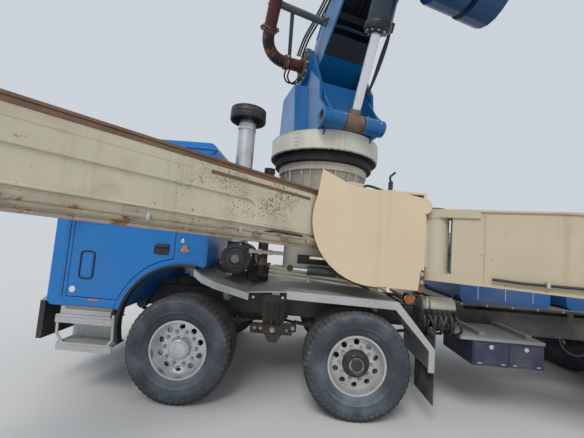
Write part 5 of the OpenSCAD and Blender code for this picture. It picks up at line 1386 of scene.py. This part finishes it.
# Control hoses: two along the bracket to the boom, and loops under the elbow
for dy, dz in ((0.0, 0.0), (0.035, 0.012), (0.065, -0.012)):
    pipe.tube([(0.10, -0.56 + dy, 0.09 + dz), (0.34, -0.53 + dy, 0.11 + dz), (0.60, -0.46 + dy, 0.11 + dz),
        (0.95, -0.38 + dy, 0.14 + dz), (1.30, -0.335 + dy * 0.2, 0.18 + dz)], 0.013, 8, 4, boom_at, 6)
for k in range(2):
    pipe.tube([(-0.06, -0.70 + 0.05 * k, -0.05), (-0.14, -0.72 + 0.05 * k, -0.12), (-0.21, -0.66 + 0.05 * k, -0.14),
        (-0.20, -0.56 + 0.04 * k, -0.12), (-0.10, -0.49 + 0.03 * k, -0.10)], 0.012, 8, 4, boom_at, 6)
pipe.make()

# ---------------------------------------------------------------- Lifting and folding cylinders
# Chromed rods in dark painted barrels, with a gland collar, a grimy seal and rusty cast eyes. Two
# black hoses run along the lifting rod to the port under the collar.
rod_chrome = weathered("rod_chrome", (0.80, 0.81, 0.84), 0.16, (0.42, 0.40, 0.36),
    0.25, 0.0, 9.0, metal=0.85, relief=0.05)
barrel_navy = weathered("barrel_navy", (0.010, 0.026, 0.050), 0.35, (0.09, 0.09, 0.09),
    0.45, 0.25, 4.0, relief=0.15, coat=0.1)
dress(["lift_barrel"], barrel_navy)
dress(["lift_rod"], rod_chrome, pin_rust)
lift_at = turret_at @ moved(*lift_pin) @ spun(-atan2(2.9373, 1.3008), "Y")
finish_faces("lift_rod", lambda middle, facing: 1 if middle.x < 0.11 else 0, lift_at.inverted())
rod_trim = Piece("lift_rod_dressing", "lift_rod", pin_rust, grease_black, nut_steel)
along_rod = lift_at @ along_x
rod_trim.lathe([(0.0565, 0.075), (0.066, 0.085), (0.068, 0.120), (0.063, 0.150), (0.0565, 0.156)], 32, 0, along_rod)
rod_trim.lathe(both_ways([(0.060, 0.116), (0.101, 0.116), (0.103, 0.108)]), 40, 0, lift_at)
rod_trim.make()
barrel = Piece("lift_barrel_dressing", "lift_barrel", barrel_navy, grease_black, nut_steel, hose_black)
barrel.lathe([(0.060, 0.985), (0.132, 0.985), (0.150, 0.992), (0.1545, 1.004), (0.1545, 1.060), (0.148, 1.072),
    (0.1425, 1.076)], 48, 1, along_rod)
barrel.lathe(band(0.1405, 0.1465, 1.30, 1.344, 0.004), 48, 0, along_rod)
barrel.lathe([(0.0570, 0.968), (0.072, 0.972), (0.076, 0.986)], 32, 1, along_rod)
nut_ring(barrel, along_rod, 10, 0.116, 0.986, 0.022, 0.012, 2, 0.0, turned=spun(pi, "X"))
barrel.block((1.02, 0.13, -0.04), (1.12, 0.185, 0.04), 0.006, 1, lift_at)
barrel.tube([(1.07, 0.16, 0.0), (0.98, 0.165, 0.01), (0.78, 0.150, 0.02), (0.52, 0.135, 0.02), (0.34, 0.110, 0.02)],
    0.016, 10, 3, lift_at, 6)
barrel.tube([(1.09, 0.17, 0.03), (0.97, 0.195, 0.04), (0.75, 0.185, 0.04), (0.55, 0.16, 0.04), (0.40, 0.125, 0.03)],
    0.014, 10, 3, lift_at, 6)
barrel.tube([(1.10, 0.165, 0.02), (1.6, 0.155, 0.03), (2.4, 0.150, 0.03),
    (2.95, 0.150, 0.03)], 0.013, 8, 3, lift_at, 4)
for x in (1.5, 2.0, 2.5):
    barrel.block((x - 0.015, 0.135, 0.005), (x + 0.015, 0.172, 0.055), 0.004, 2, lift_at)
barrel.make()
dress(["fold2_barrel", "fold3_barrel", "fold4_barrel"], barrel_navy)
dress(["fold2_rod", "fold3_rod", "fold4_rod"], rod_chrome)
fold_lines = {"fold2": ((5.800, -0.066), (8.356, -0.625), -0.455), "fold3": ((3.800, -0.866), (1.641, -0.622), 1.240),
    "fold4": ((6.300, -0.866), (8.489, -0.554), 1.240)}
for name, (pivot, end, y) in fold_lines.items():
    reach = hypot(end[0] - pivot[0], end[1] - pivot[1])
    line_at = boom_at @ moved(pivot[0], y, pivot[1]) @ spun(-atan2(end[1] - pivot[1], end[0] - pivot[0]), "Y")
    down_it = line_at @ along_x
    made = Piece(name + "_dressing", name + "_barrel", barrel_navy, grease_black, nut_steel, hose_black, pin_rust)
    made.lathe([(0.030, reach - 0.262), (0.056, reach - 0.262), (0.066, reach - 0.256), (0.068, reach - 0.20),
        (0.0625, reach - 0.19)], 32, 1, down_it)
    made.lathe(both_ways([(0.031, 0.034), (0.058, 0.034), (0.061, 0.030)]), 32, 4, line_at)
    made.tube([(0.18, 0, 0.066), (0.40, 0, 0.074), (reach - 0.40, 0, 0.074),
        (reach - 0.28, 0, 0.064)], 0.009, 8, 3, line_at, 4)
    for x in (0.22, reach - 0.34):
        made.block((x - 0.02, -0.02, 0.055), (x + 0.02, 0.02, 0.086), 0.004, 2, line_at)
    made.make()
    eye = Piece(name + "_eye", name + "_rod", pin_rust, grease_black)
    eye.lathe(both_ways([(0.031, 0.031), (0.053, 0.031), (0.0555, 0.027)]), 32, 0, line_at @ moved(reach, 0, 0))
    eye.make()

# ---------------------------------------------------------------- Exhaust stacks and air cleaner
# Aluminised intake stack under a black rain cap, a black exhaust pipe behind the cab, and the
# round air cleaner with its end cover, black with a small grey boss in its middle that is a painted
# highlight.
stack_silver = weathered("stack_silver", (0.60, 0.61, 0.62), 0.36, (0.30, 0.29, 0.27),
    0.45, 0.12, 5.0, metal=0.7, relief=0.1)
cap_black = weathered("cap_black", (0.014, 0.014, 0.016), 0.42, (0.14, 0.14, 0.14), 0.45, 0.1, 6.0, relief=0.2)
pipe_black = weathered("exhaust_black", (0.022, 0.021, 0.021), 0.6, (0.13, 0.11, 0.10), 0.6, 0.5, 8.0, relief=0.35)
# Pale grey painted as the highlight on the middle of the glossy cleaner cover.
boss_painted_highlight = weathered("boss_painted_highlight", (0.21, 0.215, 0.22), 0.5, (0.28, 0.26, 0.23), 0.5, 0.05, 6.0, relief=0.2)
dress(["stacks"], stack_silver, cap_black, pipe_black)
stack_x, stack_y = 1.385, 0.930


def stack_face(middle, facing):
    if hypot(middle.x - stack_x, middle.y - stack_y) >= 0.21:
        return 2
    return 1 if middle.z > 3.088 else 0


finish_faces("stacks", stack_face)
stack = Piece("stack_dressing", "chassis", stack_silver, cap_black, pipe_black, chrome_trim, clamp_brown)
stack_at = at(stack_x, stack_y, 0)
stack.lathe([(0.100, 3.100), (0.190, 3.096), (0.2055, 3.106), (0.2085, 3.116), (0.2085, 3.142), (0.203, 3.148),
    (0.2065, 3.156), (0.2065, 3.196), (0.198, 3.212), (0.150, 3.2265), (tip, 3.2325)], 64, 1, stack_at @ up_y)
for k in range(24):
    rib = stack_at @ spun(2 * pi * k / 24, "Z")
    stack.slab([(0.108, 3.060), (0.190, 3.090), (0.190, 3.100), (0.108, 3.100)], 0.003, 1, rib)
for z in (1.86, 2.42, 2.985):
    stack.lathe(band(0.0985, 0.1035, z, z + 0.028, 0.004), 48, 3, stack_at @ up_y)
    stack.block((0.090, -0.020, z - 0.002), (0.122, 0.020, z + 0.030), 0.004, 3, stack_at @ spun(0.8, "Z"))
stack.tube([(1.4835, 0.930, 1.90), (1.4835, 0.930, 3.06)], 0.0035, 6, 0, here)
exhaust_at = at(1.11, 0.64, 0)
for z in (1.42, 1.95, 2.36):
    stack.lathe(band(0.0625, 0.0685, z, z + 0.034, 0.004), 36, 4, exhaust_at @ up_y)
stack.lathe([(0.064, 2.560), (0.068, 2.570), (0.068, 2.628), (0.060, 2.631), (0.052, 2.622), (0.050, 2.50)],
    36, 2, exhaust_at @ up_y)
stack.make()
dress(["air_cleaner"], cap_black, boss_painted_highlight)
cleaner = Piece("cleaner_dressing", "chassis", cap_black, boss_painted_highlight, chrome_trim, hose_black)
cleaner_at = at(1.360, 0, 1.500)
cleaner.lathe([(0.1655, 1.000), (0.1705, 1.004), (0.1705, 1.022), (0.1655, 1.030), (0.158, 1.046), (0.128, 1.052),
    (0.120, 1.044), (0.112, 1.044)], 56, 0, cleaner_at)
cleaner.lathe([(0.113, 1.043), (0.108, 1.049), (0.060, 1.053), (0.052, 1.060), (0.030, 1.062), (0.024, 1.068),
    (tip, 1.069)], 48, 0, cleaner_at)
# Small boss in the middle, painted grey as the highlight on the glossy black cover.
cleaner.lathe([(0.046, 1.060), (0.044, 1.066), (0.026, 1.067), (0.020, 1.073), (tip, 1.074)], 32, 1, cleaner_at)
cleaner.lathe(band(0.1655, 0.1705, 0.70, 0.734, 0.004), 48, 2, cleaner_at)
for k in range(6):
    a = 2 * pi * k / 6 + 0.3
    clip = cleaner_at @ spun(a, "Y")
    cleaner.block((0.164, 0.955, -0.013), (0.176, 1.026, 0.013), 0.003, 2, clip)
    cleaner.tube([(0.174, 0.955, 0), (0.180, 0.985, 0), (0.172, 1.03, 0)], 0.003, 6, 2, clip)
cleaner.make()

# ---------------------------------------------------------------- Engine, side boxes and tanks
# Cast engine block with its ribbed sump, dark blue steel lockers with lids, and an aluminium fuel
# tank held by two straps.
engine_iron = weathered("engine_iron", (0.05, 0.052, 0.055), 0.55, (0.17, 0.13, 0.09), 0.9, 0.5, 4.0, relief=0.35)
locker_blue = weathered("locker_blue", (0.020, 0.028, 0.072), 0.42, (0.20, 0.18, 0.16), 0.55, 0.25, 2.6, relief=0.15)
lid_grey = weathered("lid_grey", (0.30, 0.31, 0.33), 0.5, (0.34, 0.30, 0.25), 0.8, 0.2, 4.0, relief=0.2)
tank_alloy = weathered("tank_alloy", (0.55, 0.56, 0.57), 0.4, (0.32, 0.29, 0.25),
    0.7, 0.05, 3.0, metal=0.7, relief=0.15)
dress(["engine"], engine_iron)
motor = Piece("engine_dressing", "chassis", engine_iron, cast_iron, nut_steel, hose_black)
low, high = corners("engine")
for k in range(9):
    x = low.x + 0.06 + (high.x - low.x - 0.12) * k / 8
    for y in (low.y - 0.004, high.y + 0.004):
        motor.block((x - 0.008, min(y, y * 0.98), low.z + 0.05),
            (x + 0.008, max(y, y * 0.98), high.z - 0.10), 0.003, 0, here)
for k in range(6):
    x = low.x + 0.10 + (high.x - low.x - 0.2) * k / 5
    motor.block((x - 0.055, -0.16, high.z - 0.004), (x + 0.055, 0.16, high.z + 0.030), 0.012, 1, here)
    for y in (-0.12, 0.12):
        motor.nut(0.022, 0.014, 2, at(x, y, high.z + 0.029) @ quarter_x, 0.004)
motor.make()
dress(["side_boxes"], locker_blue, lid_grey, tank_alloy)
finish_faces("side_boxes", lambda middle, facing: 2 if middle.y < 0 else 1
    if middle.z > 0.855 and middle.y > 0 else 0)
lockers = Piece("locker_dressing", "chassis", locker_blue, lid_grey, tank_alloy, chrome_trim, seal_black, nut_steel)
for x0, x1 in ((-1.965, -1.62), (-1.60, -1.255)):
    door = ring_line([(x0, 0.625), (x0, 0.835), (x1, 0.835), (x1, 0.625)], 0.02)
    lockers.slab(door, 0.008, 0, at(0, 1.060, 0), 0.003)
    lockers.tube([(x, 1.061, z) for x, z in door + door[:1]], 0.004, 6, 4, here)
    lockers.lathe([(0.024, 0), (0.024, 0.004), (0.018, 0.008), (tip, 0.008)], 20, 3, at((x0 + x1) / 2, 1.068, 0.80))
    for x in (x0 + 0.05, x1 - 0.05):
        lockers.tube([(x - 0.02, 1.071, 0.632), (x + 0.02, 1.071, 0.632)], 0.008, 8, 5, here)
lockers.block((-1.99, 0.46, 0.858), (-1.10, 1.072, 0.872), 0.004, 1, here)
tank_top = corners("side_boxes")[1].z
for x in (-2.18, -1.78, -1.38):
    lockers.block((x - 0.028, -1.208, 0.55), (x + 0.028, -1.198, 1.06), 0.003, 3, here)
lockers.lathe([(0.055, 0), (0.055, 0.020), (0.048, 0.028), (tip, 0.030)],
    28, 4, at(-1.30, -0.86, tank_top - 0.002) @ quarter_x)
lockers.make()

# ---------------------------------------------------------------- Valve bank, ram and lines
# Stack of outrigger valves with black hoses, the steering ram with its bright rod, and the cream
# tube run below the leg. Tubes are bent steel in saddles; hoses are crimped rubber.
ram_grey = weathered("ram_grey", (0.30, 0.28, 0.24), 0.45, (0.36, 0.31, 0.24), 0.7, 0.3, 6.0, relief=0.2)
dress(["valve_bank"], ram_grey, hose_black)
finish_faces("valve_bank", lambda middle, facing: 0 if middle.z > 1.105 else 1)
valves = Piece("valve_dressing", "chassis", hose_black, ram_grey, cast_iron, nut_steel,
    column_cream, rod_chrome, cap_black)
for k in range(7):
    x = -1.02 + 0.056 * k
    valves.block((x - 0.024, 0.90, 1.02), (x + 0.024, 1.10, 1.145), 0.005, 6, here)
    valves.nut(0.024, 0.018, 6, at(x, 1.10, 1.115), 0.0)
    sway = 0.012 * ((k * 7) % 5 - 2)
    valves.tube([(x, 1.104, 1.085), (x, 1.135, 1.075), (x + sway, 1.150, 1.02), (x + sway * 2, 1.140, 0.95),
        (x + sway, 1.09, 0.90), (x, 1.00, 0.88)], 0.013, 8, 0, here, 5)
    valves.tube([(x, 1.104, 1.050), (x, 1.128, 1.045), (x - sway, 1.138, 0.99), (x - sway, 1.10, 0.935),
        (x, 0.98, 0.91)], 0.011, 8, 0, here, 5)
# Cream oil cylinder with its sleeve and end flange over the valves
oil_at = at(0, 0.98, 1.17) @ along_x
valves.lathe([(0.062, -1.045), (0.088, -1.040), (0.090, -1.030), (0.090, -0.790), (0.086, -0.780),
    (0.062, -0.778)], 40, 4, oil_at)
valves.block((-0.752, 0.886, 1.078), (-0.728, 1.074, 1.262), 0.008, 4, here)
valves.lathe([(0.062, -1.055), (0.068, -1.050), (0.068, -1.020), (0.0625, -1.016)], 32, 1, oil_at)
valves.lathe([(0.0625, -0.735), (0.090, -0.730), (0.092, -0.722), (0.092, -0.700), (0.086, -0.694),
    (0.030, -0.694)], 32, 1, oil_at)
for k in range(6):
    spot = at(-0.694, 0.98, 1.17) @ spun(k * pi / 3, "X") @ moved(0, 0, 0.056) @ along_x @ spun(pi, "Z")
    valves.nut(0.016, 0.010, 3, spot, 0.002)
# Cream tubes under the leg, clipped to the housing
for k, z in enumerate((1.445, 1.405, 1.362)):
    valves.tube([(0.98, 1.00 + 0.02 * k, z), (0.60, 1.06, z - 0.01), (0.20, 1.09, z - 0.03), (-0.10, 1.09, z - 0.05),
        (-0.30, 1.05, z - 0.12)], 0.017 - 0.002 * k, 10, 4, here, 5)
for x in (0.55, 0.12):
    valves.block((x - 0.016, 1.045, 1.315), (x + 0.016, 1.115, 1.465), 0.004, 1, here)
# Dark panel and knobbed cream fittings under the leg
valves.block((0.30, 0.93, 1.50), (0.68, 0.98, 1.60), 0.004, 6, here)
valves.lathe([(tip, -1.215), (0.026, -1.212), (0.026, -1.170), (0.017, -1.165), (0.017, -1.120), (0.030, -1.115),
    (0.030, -1.075), (0.020, -1.070), (0.020, -1.010), (0.028, -1.005), (0.028, -0.960), (0.020, -0.955),
    (0.020, -0.840), (tip, -0.838)], 20, 4, at(0, 1.05, 1.600) @ spun(pi, "Z") @ along_x)
# Bright-rod ram under the leg's housing, its barrel towards the rear
valves.tube([(0.745, 1.135, 1.458), (0.565, 1.135, 1.448)], 0.019, 16, 5, here)
valves.lathe([(0.020, 0.0), (0.046, 0.002), (0.048, 0.008), (0.048, 0.30), (0.042, 0.308), (tip, 0.31)],
    28, 6, at(0.570, 1.135, 1.448) @ spun(pi / 2, "Z"))
valves.lathe([(0.030, -0.022), (0.034, -0.018), (0.034, 0.018), (0.030, 0.022), (tip, 0.022)],
    20, 2, at(0.752, 1.135, 1.459))
valves.tube([(0.28, 1.17, 1.45), (0.24, 1.19, 1.42), (0.10, 1.18, 1.38), (0.0, 1.14, 1.34),
    (-0.10, 1.10, 1.30)], 0.011, 8, 0, here, 6)
valves.make()

# ---------------------------------------------------------------- Rear deck and tanks
# Chequer-plate walkway on cross bearers, with a blue water tank and a blue oil tank held by steel
# straps. Dried concrete and dust lie on their tops.
tank_blue = enamelled("tank_blue", (0.012, 0.115, 0.36), 0.4, 0.45, (0.10, 0.13, 0.16),
    0.5, 0.25, (0.26, 0.24, 0.21), 2.0, 0.08, 0.08)
deck_plate = chequered("deck_plate", (0.34, 0.345, 0.34), (0.30, 0.26, 0.21), 0.9)
dress(["rear_deck"], tank_blue, deck_plate, chassis_grey)


def deck_face(middle, facing):
    if middle.z < 1.118:
        return 2
    return 1 if middle.z < 1.1505 and abs(middle.y) < 0.57 else 0


finish_faces("rear_deck", deck_face)
deck = Piece("deck_dressing", "chassis", tank_blue, chrome_trim, nut_steel, seal_black, chassis_grey, hose_black,
    spattered("deck_grime", (0.30, 0.27, 0.22), 0.7, 1.2, 0.4, 0.8, 0.3, 12.0))
for places, wide, flat, shoulder, top in (((-2.30, -1.96, -1.62), 0.523, 0.44, 1.80, 1.9035),
        ((-3.55, -3.03), 0.483, 0.42, 1.62, 1.7035)):
    for x in places:
        deck.tube([(x, -wide, 1.20), (x, -wide, shoulder), (x, -flat, top), (x, flat, top), (x, wide, shoulder),
            (x, wide, 1.20)], 0.006, 6, 1, here)
for x, top, r in ((-1.80, 1.900, 0.105), (-3.30, 1.700, 0.08)):
    lid_at = at(x, 0.20, top) @ quarter_x
    deck.lathe([(r * 1.15, -0.004), (r * 1.15, 0.012), (r, 0.016), (r, 0.034), (r * 0.9, 0.042),
        (tip, 0.046)], 40, 0, lid_at)
    nut_ring(deck, lid_at, 8, r * 1.08, 0.011, 0.018, 0.010, 2, 0.0)
    deck.tube([(x + 0.2, -0.28, top), (x + 0.2, -0.28, top + 0.05), (x + 0.2, -0.20, top + 0.05),
        (x + 0.2, -0.20, top)], 0.009, 8, 1, here, 3)
for side in (1, -1):
    rail_at = beside(side)
    # Handrail hoop at the walkway's rear half, and the edge strip
    deck.tube([(-4.0, 0.545, 1.152), (-4.0, 0.545, 1.56), (-4.06, 0.545, 1.62), (-6.72, 0.545, 1.62),
        (-6.78, 0.545, 1.56), (-6.78, 0.545, 1.152)], 0.017, 10, 4, rail_at, 4)
    deck.tube([(-4.0, 0.545, 1.38), (-6.78, 0.545, 1.38)], 0.012, 8, 4, rail_at)
    for x in (-4.9, -5.85):
        deck.tube([(x, 0.545, 1.152), (x, 0.545, 1.62)], 0.014, 8, 4, rail_at)
    deck.slab(upright((-6.9, 1.119), (-1.25, 1.151)), 0.006, 4, rail_at @ moved(0, 0.559, 0), 0.002)
    for k in range(18):
        deck.nut(0.018, 0.010, 2, rail_at @ moved(-1.4 - k * 0.31, 0.564, 1.135), 0.0)
    deck.tube([(-1.42, 0.40, 1.22), (-1.36, 0.44, 1.19), (-1.30, 0.46, 1.10), (-1.22, 0.48, 1.02)],
        0.018, 10, 5, rail_at, 5)
random.seed(41)
for k in range(60):
    x, y = -6.8 + random.random() * 5.4, -0.50 + random.random() * 1.0
    if x < -3.80 and abs(y) < 0.5:
        r = 0.012 + 0.035 * random.random() ** 2
        deck.lathe([(r, 0.0), (r * 0.8, r * 0.16), (r * 0.35, r * 0.26), (tip, r * 0.28)],
            9, 6, at(x, y, 1.150) @ quarter_x)
deck.make()

# ---------------------------------------------------------------- Spring hanger casting
# Ribbed iron casting between the two steered axles, bolted under the rail. The springs' ends pivot
# in its lower bracket; road dirt covers it.
hanger = Piece("hanger_dressing", "chassis", cast_iron, nut_steel, chassis_grey)


def hanger_parts(place):
    hanger.block((0.67, 0.555, 0.590), (1.19, 0.640, 0.705), 0.016, 0, place)
    hanger.block((0.625, 0.590, 0.640), (0.780, 0.650, 0.735), 0.014, 0, place)
    hanger.slab([(0.79, 0.600), (0.86, 0.495), (0.955, 0.495), (1.02, 0.600)],
        0.060, 0, place @ moved(0, 0.575, 0), 0.008)
    for x in (0.79, 0.86, 0.93, 1.00):
        hanger.block((x - 0.009, 0.560, 0.695), (x + 0.009, 0.655, 0.955), 0.004, 0, place)
    for x, z, r in ((0.915, 0.660, 0.046), (0.667, 0.700, 0.036)):
        hanger.lathe([(r, 0.600), (r, 0.662), (r * 0.86, 0.672), (r * 0.55, 0.674), (r * 0.5, 0.682), (tip, 0.684)],
            28, 0, place @ moved(x, 0, z))
        hanger.nut(r * 0.9, 0.014, 1, place @ moved(x, 0.682, z), 0.004)
    for x in (0.74, 1.06, 1.13):
        hanger.nut(0.026, 0.014, 1, place @ moved(x, 0.640, 0.660), 0.003)


left_and_right(hanger_parts)
hanger.make()

# ---------------------------------------------------------------- Pump unit and hopper
# Twin drive cylinders and delivery cylinders in line between the rails, tied by long bolts. The
# hopper is welded plate, crusted with concrete, with a hinged bar grate and a paddle shaft.
crust = spattered("hopper_crust", (0.030, 0.13, 0.34), 0.5, 1.5, 0.3, 0.5, 0.4, 9.0, (0.34, 0.32, 0.28),
    (0.36, 0.345, 0.31), 0.4)
crust_inside = weathered("concrete_crust", (0.30, 0.285, 0.26), 0.85, (0.42, 0.40, 0.36), 0.9, 0.15, 7.0, relief=0.8)
worn_steel = weathered("worn_steel", (0.34, 0.33, 0.31), 0.5, (0.36, 0.34, 0.30),
    0.7, 0.5, 8.0, metal=0.5, relief=0.4)
dress(["pump_unit"], tank_blue, worn_steel, cast_iron)


def pump_face(middle, facing):
    off_axis = hypot(abs(middle.y) - 0.17, middle.z - 0.938)
    if -6.02 < middle.x < -5.89 or (-4.27 < middle.x < -4.19 and off_axis > 0.08):
        return 2
    return 0 if middle.x < -5.89 else 1


finish_faces("pump_unit", pump_face)
pump = Piece("pump_dressing", "chassis", tank_blue, worn_steel, cast_iron, nut_steel, hose_black)
for y in (-0.17, 0.17):
    for x, z in ((-7.05, 0.865), (-6.10, 0.886)):
        pump.lathe(band(0.126, 0.138, -0.020, 0.020, 0.004), 44, 0, at(x, y, z) @ along_x)
    for x, z in ((-5.80, 0.894), (-4.36, 0.933)):
        pump.lathe(band(0.071, 0.086, -0.022, 0.022, 0.004), 36, 1, at(x, y, z) @ along_x)
    for a in (0.8, 2.4, 3.9, 5.5):
        dy, dz = 0.145 * cos(a), 0.125 * sin(a)
        if abs(y + dy) < 0.40:
            pump.tube([(-7.05, y + dy, 0.866 + dz), (-6.02, y + dy, 0.888 + dz)], 0.010, 8, 3, here)
    pump.tube([(-5.70, y, 0.985), (-5.60, y, 1.04), (-5.2, y * 0.6, 1.06), (-4.5, y * 0.5, 1.06),
        (-4.2, y * 0.4, 1.02)], 0.016, 8, 4, here, 5)
pump.make()
dress(["hopper"], crust, crust_inside)
low, high = corners("hopper")
shaft_x, shaft_z = low.x + 0.54, 1.05


def hopper_face(middle, facing):
    looks_in = facing.dot(Vector((shaft_x, 0, 1.3)) - middle) > 0
    within = abs(middle.y) < 0.742 and low.x + 0.008 < middle.x < low.x + 1.142
    return 1 if looks_in and within and middle.z > 0.585 else 0


finish_faces("hopper", hopper_face)
bin_trim = Piece("hopper_dressing", "chassis", crust, rust_edge, nut_steel, rubber, worn_steel, red_lens,
    amber_lens, crust_inside)
rim = upright((low.x + 0.014, -0.737), (low.x + 1.137, 0.737))
bin_trim.tube([(x, y, 1.472) for x, y in rim + rim[:1]], 0.012, 8, 1, here)
for side in (1, -1):
    side_at = beside(side)
    bin_trim.lathe([(tip, 0.490), (0.095, 0.490), (0.105, 0.500), (0.105, 0.530), (0.075, 0.545), (0.050, 0.548),
        (0.045, 0.575), (tip, 0.578)], 36, 4, side_at @ moved(shaft_x, 0, shaft_z))
    nut_ring(bin_trim, side_at @ moved(shaft_x, 0.529, shaft_z), 8, 0.088, 0, 0.020, 0.012, 2, 0.003)
    for x in (low.x + 0.25, low.x + 0.82):
        bin_trim.slab(upright((x, 1.42), (x + 0.012, 1.18)), 0.06, 0, side_at @ moved(0, 0.56, 0), 0.003)
    bin_trim.slab(ring_line([(low.x + 0.06, 1.30), (low.x + 0.06, 1.38), (low.x + 0.20, 1.38), (low.x + 0.20, 1.30)],
        0.02), 0.022, 5, side_at @ moved(0, 0.715, 0), 0.006)
for y in (-0.45, -0.15, 0.15, 0.45):
    bin_trim.slab([(low.x + 0.004, 1.44), (low.x + 0.06, 1.20), (low.x + 0.10, 1.05), (low.x + 0.02, 1.30)],
        0.010, 0, at(0, y, 0), 0.002)
# Rubber splash lip round the mouth's rear edge
bin_trim.slab([(0.0, 0.0), (1.40, 0.0), (1.38, 0.10), (0.02, 0.10)],
    0.008, 3, at(low.x + 0.010, 0.70, 1.375) @ along_x, 0.002)
random.seed(7)
for k in range(70):
    y = -0.70 + 1.40 * random.random()
    z = 0.75 + 0.65 * random.random()
    r = 0.008 + 0.022 * random.random() ** 2
    inset = (1.46 - z) / 0.9 * 0.18
    limit = 0.74 - (1.46 - z) / 0.9 * 0.25
    if abs(y) < limit:
        bin_trim.lathe([(r, 0.0), (r * 0.7, r * 0.25), (tip, r * 0.32)],
            8, 7, at(low.x + inset + 0.004, y, z) @ spun(pi / 2, "Z"))
bin_trim.make()
dress(["hopper_grate", "agitator"], worn_steel)
grate = Piece("grate_dressing", "hopper_grate", worn_steel, crust_inside, nut_steel)
for y in (-0.56, 0.56):
    grate.tube([(low.x + 0.10, y - 0.06, 1.512), (low.x + 0.10, y - 0.05, 1.545), (low.x + 0.10, y + 0.05, 1.545),
        (low.x + 0.10, y + 0.06, 1.512)], 0.008, 8, 0, here, 4)
for k in range(40):
    y, x = -0.6 + 0.15 * (k % 9), low.x + 0.12 + 0.9 * random.random()
    r = 0.006 + 0.008 * random.random()
    grate.lathe([(r, 0.0), (r * 0.7, r * 0.7), (tip, r * 0.9)], 8, 1, at(x, y, 1.508) @ quarter_x)
grate.make()
paddles = Piece("agitator_dressing", "agitator", worn_steel, crust_inside, nut_steel)
for y in (-0.33, -0.11, 0.11, 0.33):
    paddles.lathe(band(0.041, 0.056, -0.030, 0.030, 0.004), 28, 0, at(shaft_x, y, shaft_z))
    for dx in (-0.14, 0.14):
        paddles.lathe([(0.028, 0.0), (0.020, 0.010), (tip, 0.014)], 10, 1, at(shaft_x + dx, y + 0.008, shaft_z))
paddles.make()
dress(["delivery_line"], pipe_maroon)
line = Piece("line_dressing", "chassis", clamp_brown, nut_steel, pipe_maroon, bracket_green)
for x in (-7.10, -5.20, -3.30, -1.55, 0.10):
    joint_at = at(x, -0.250, 0.680) @ along_x
    line.lathe(both_ways([(0.067, 0.034), (0.078, 0.034), (0.084, 0.026), (0.084, 0.012), (0.077, 0.006)]),
        36, 0, joint_at)
    for a in (0, pi):
        line.block((0.078, -0.022, -0.016), (0.116, 0.022, 0.016), 0.004, 0, joint_at @ spun(a, "Y"))
        line.nut(0.022, 0.014, 1, joint_at @ spun(a, "Y") @ moved(0.100, 0, 0.016) @ quarter_x, 0.006)
for x in (-4.2, -2.4, -0.7):
    line.tube([(x, -0.340, 0.80), (x, -0.325, 0.66), (x, -0.250, 0.604), (x, -0.175, 0.66),
        (x, -0.160, 0.80)], 0.010, 8, 3, here, 5)
line.make()
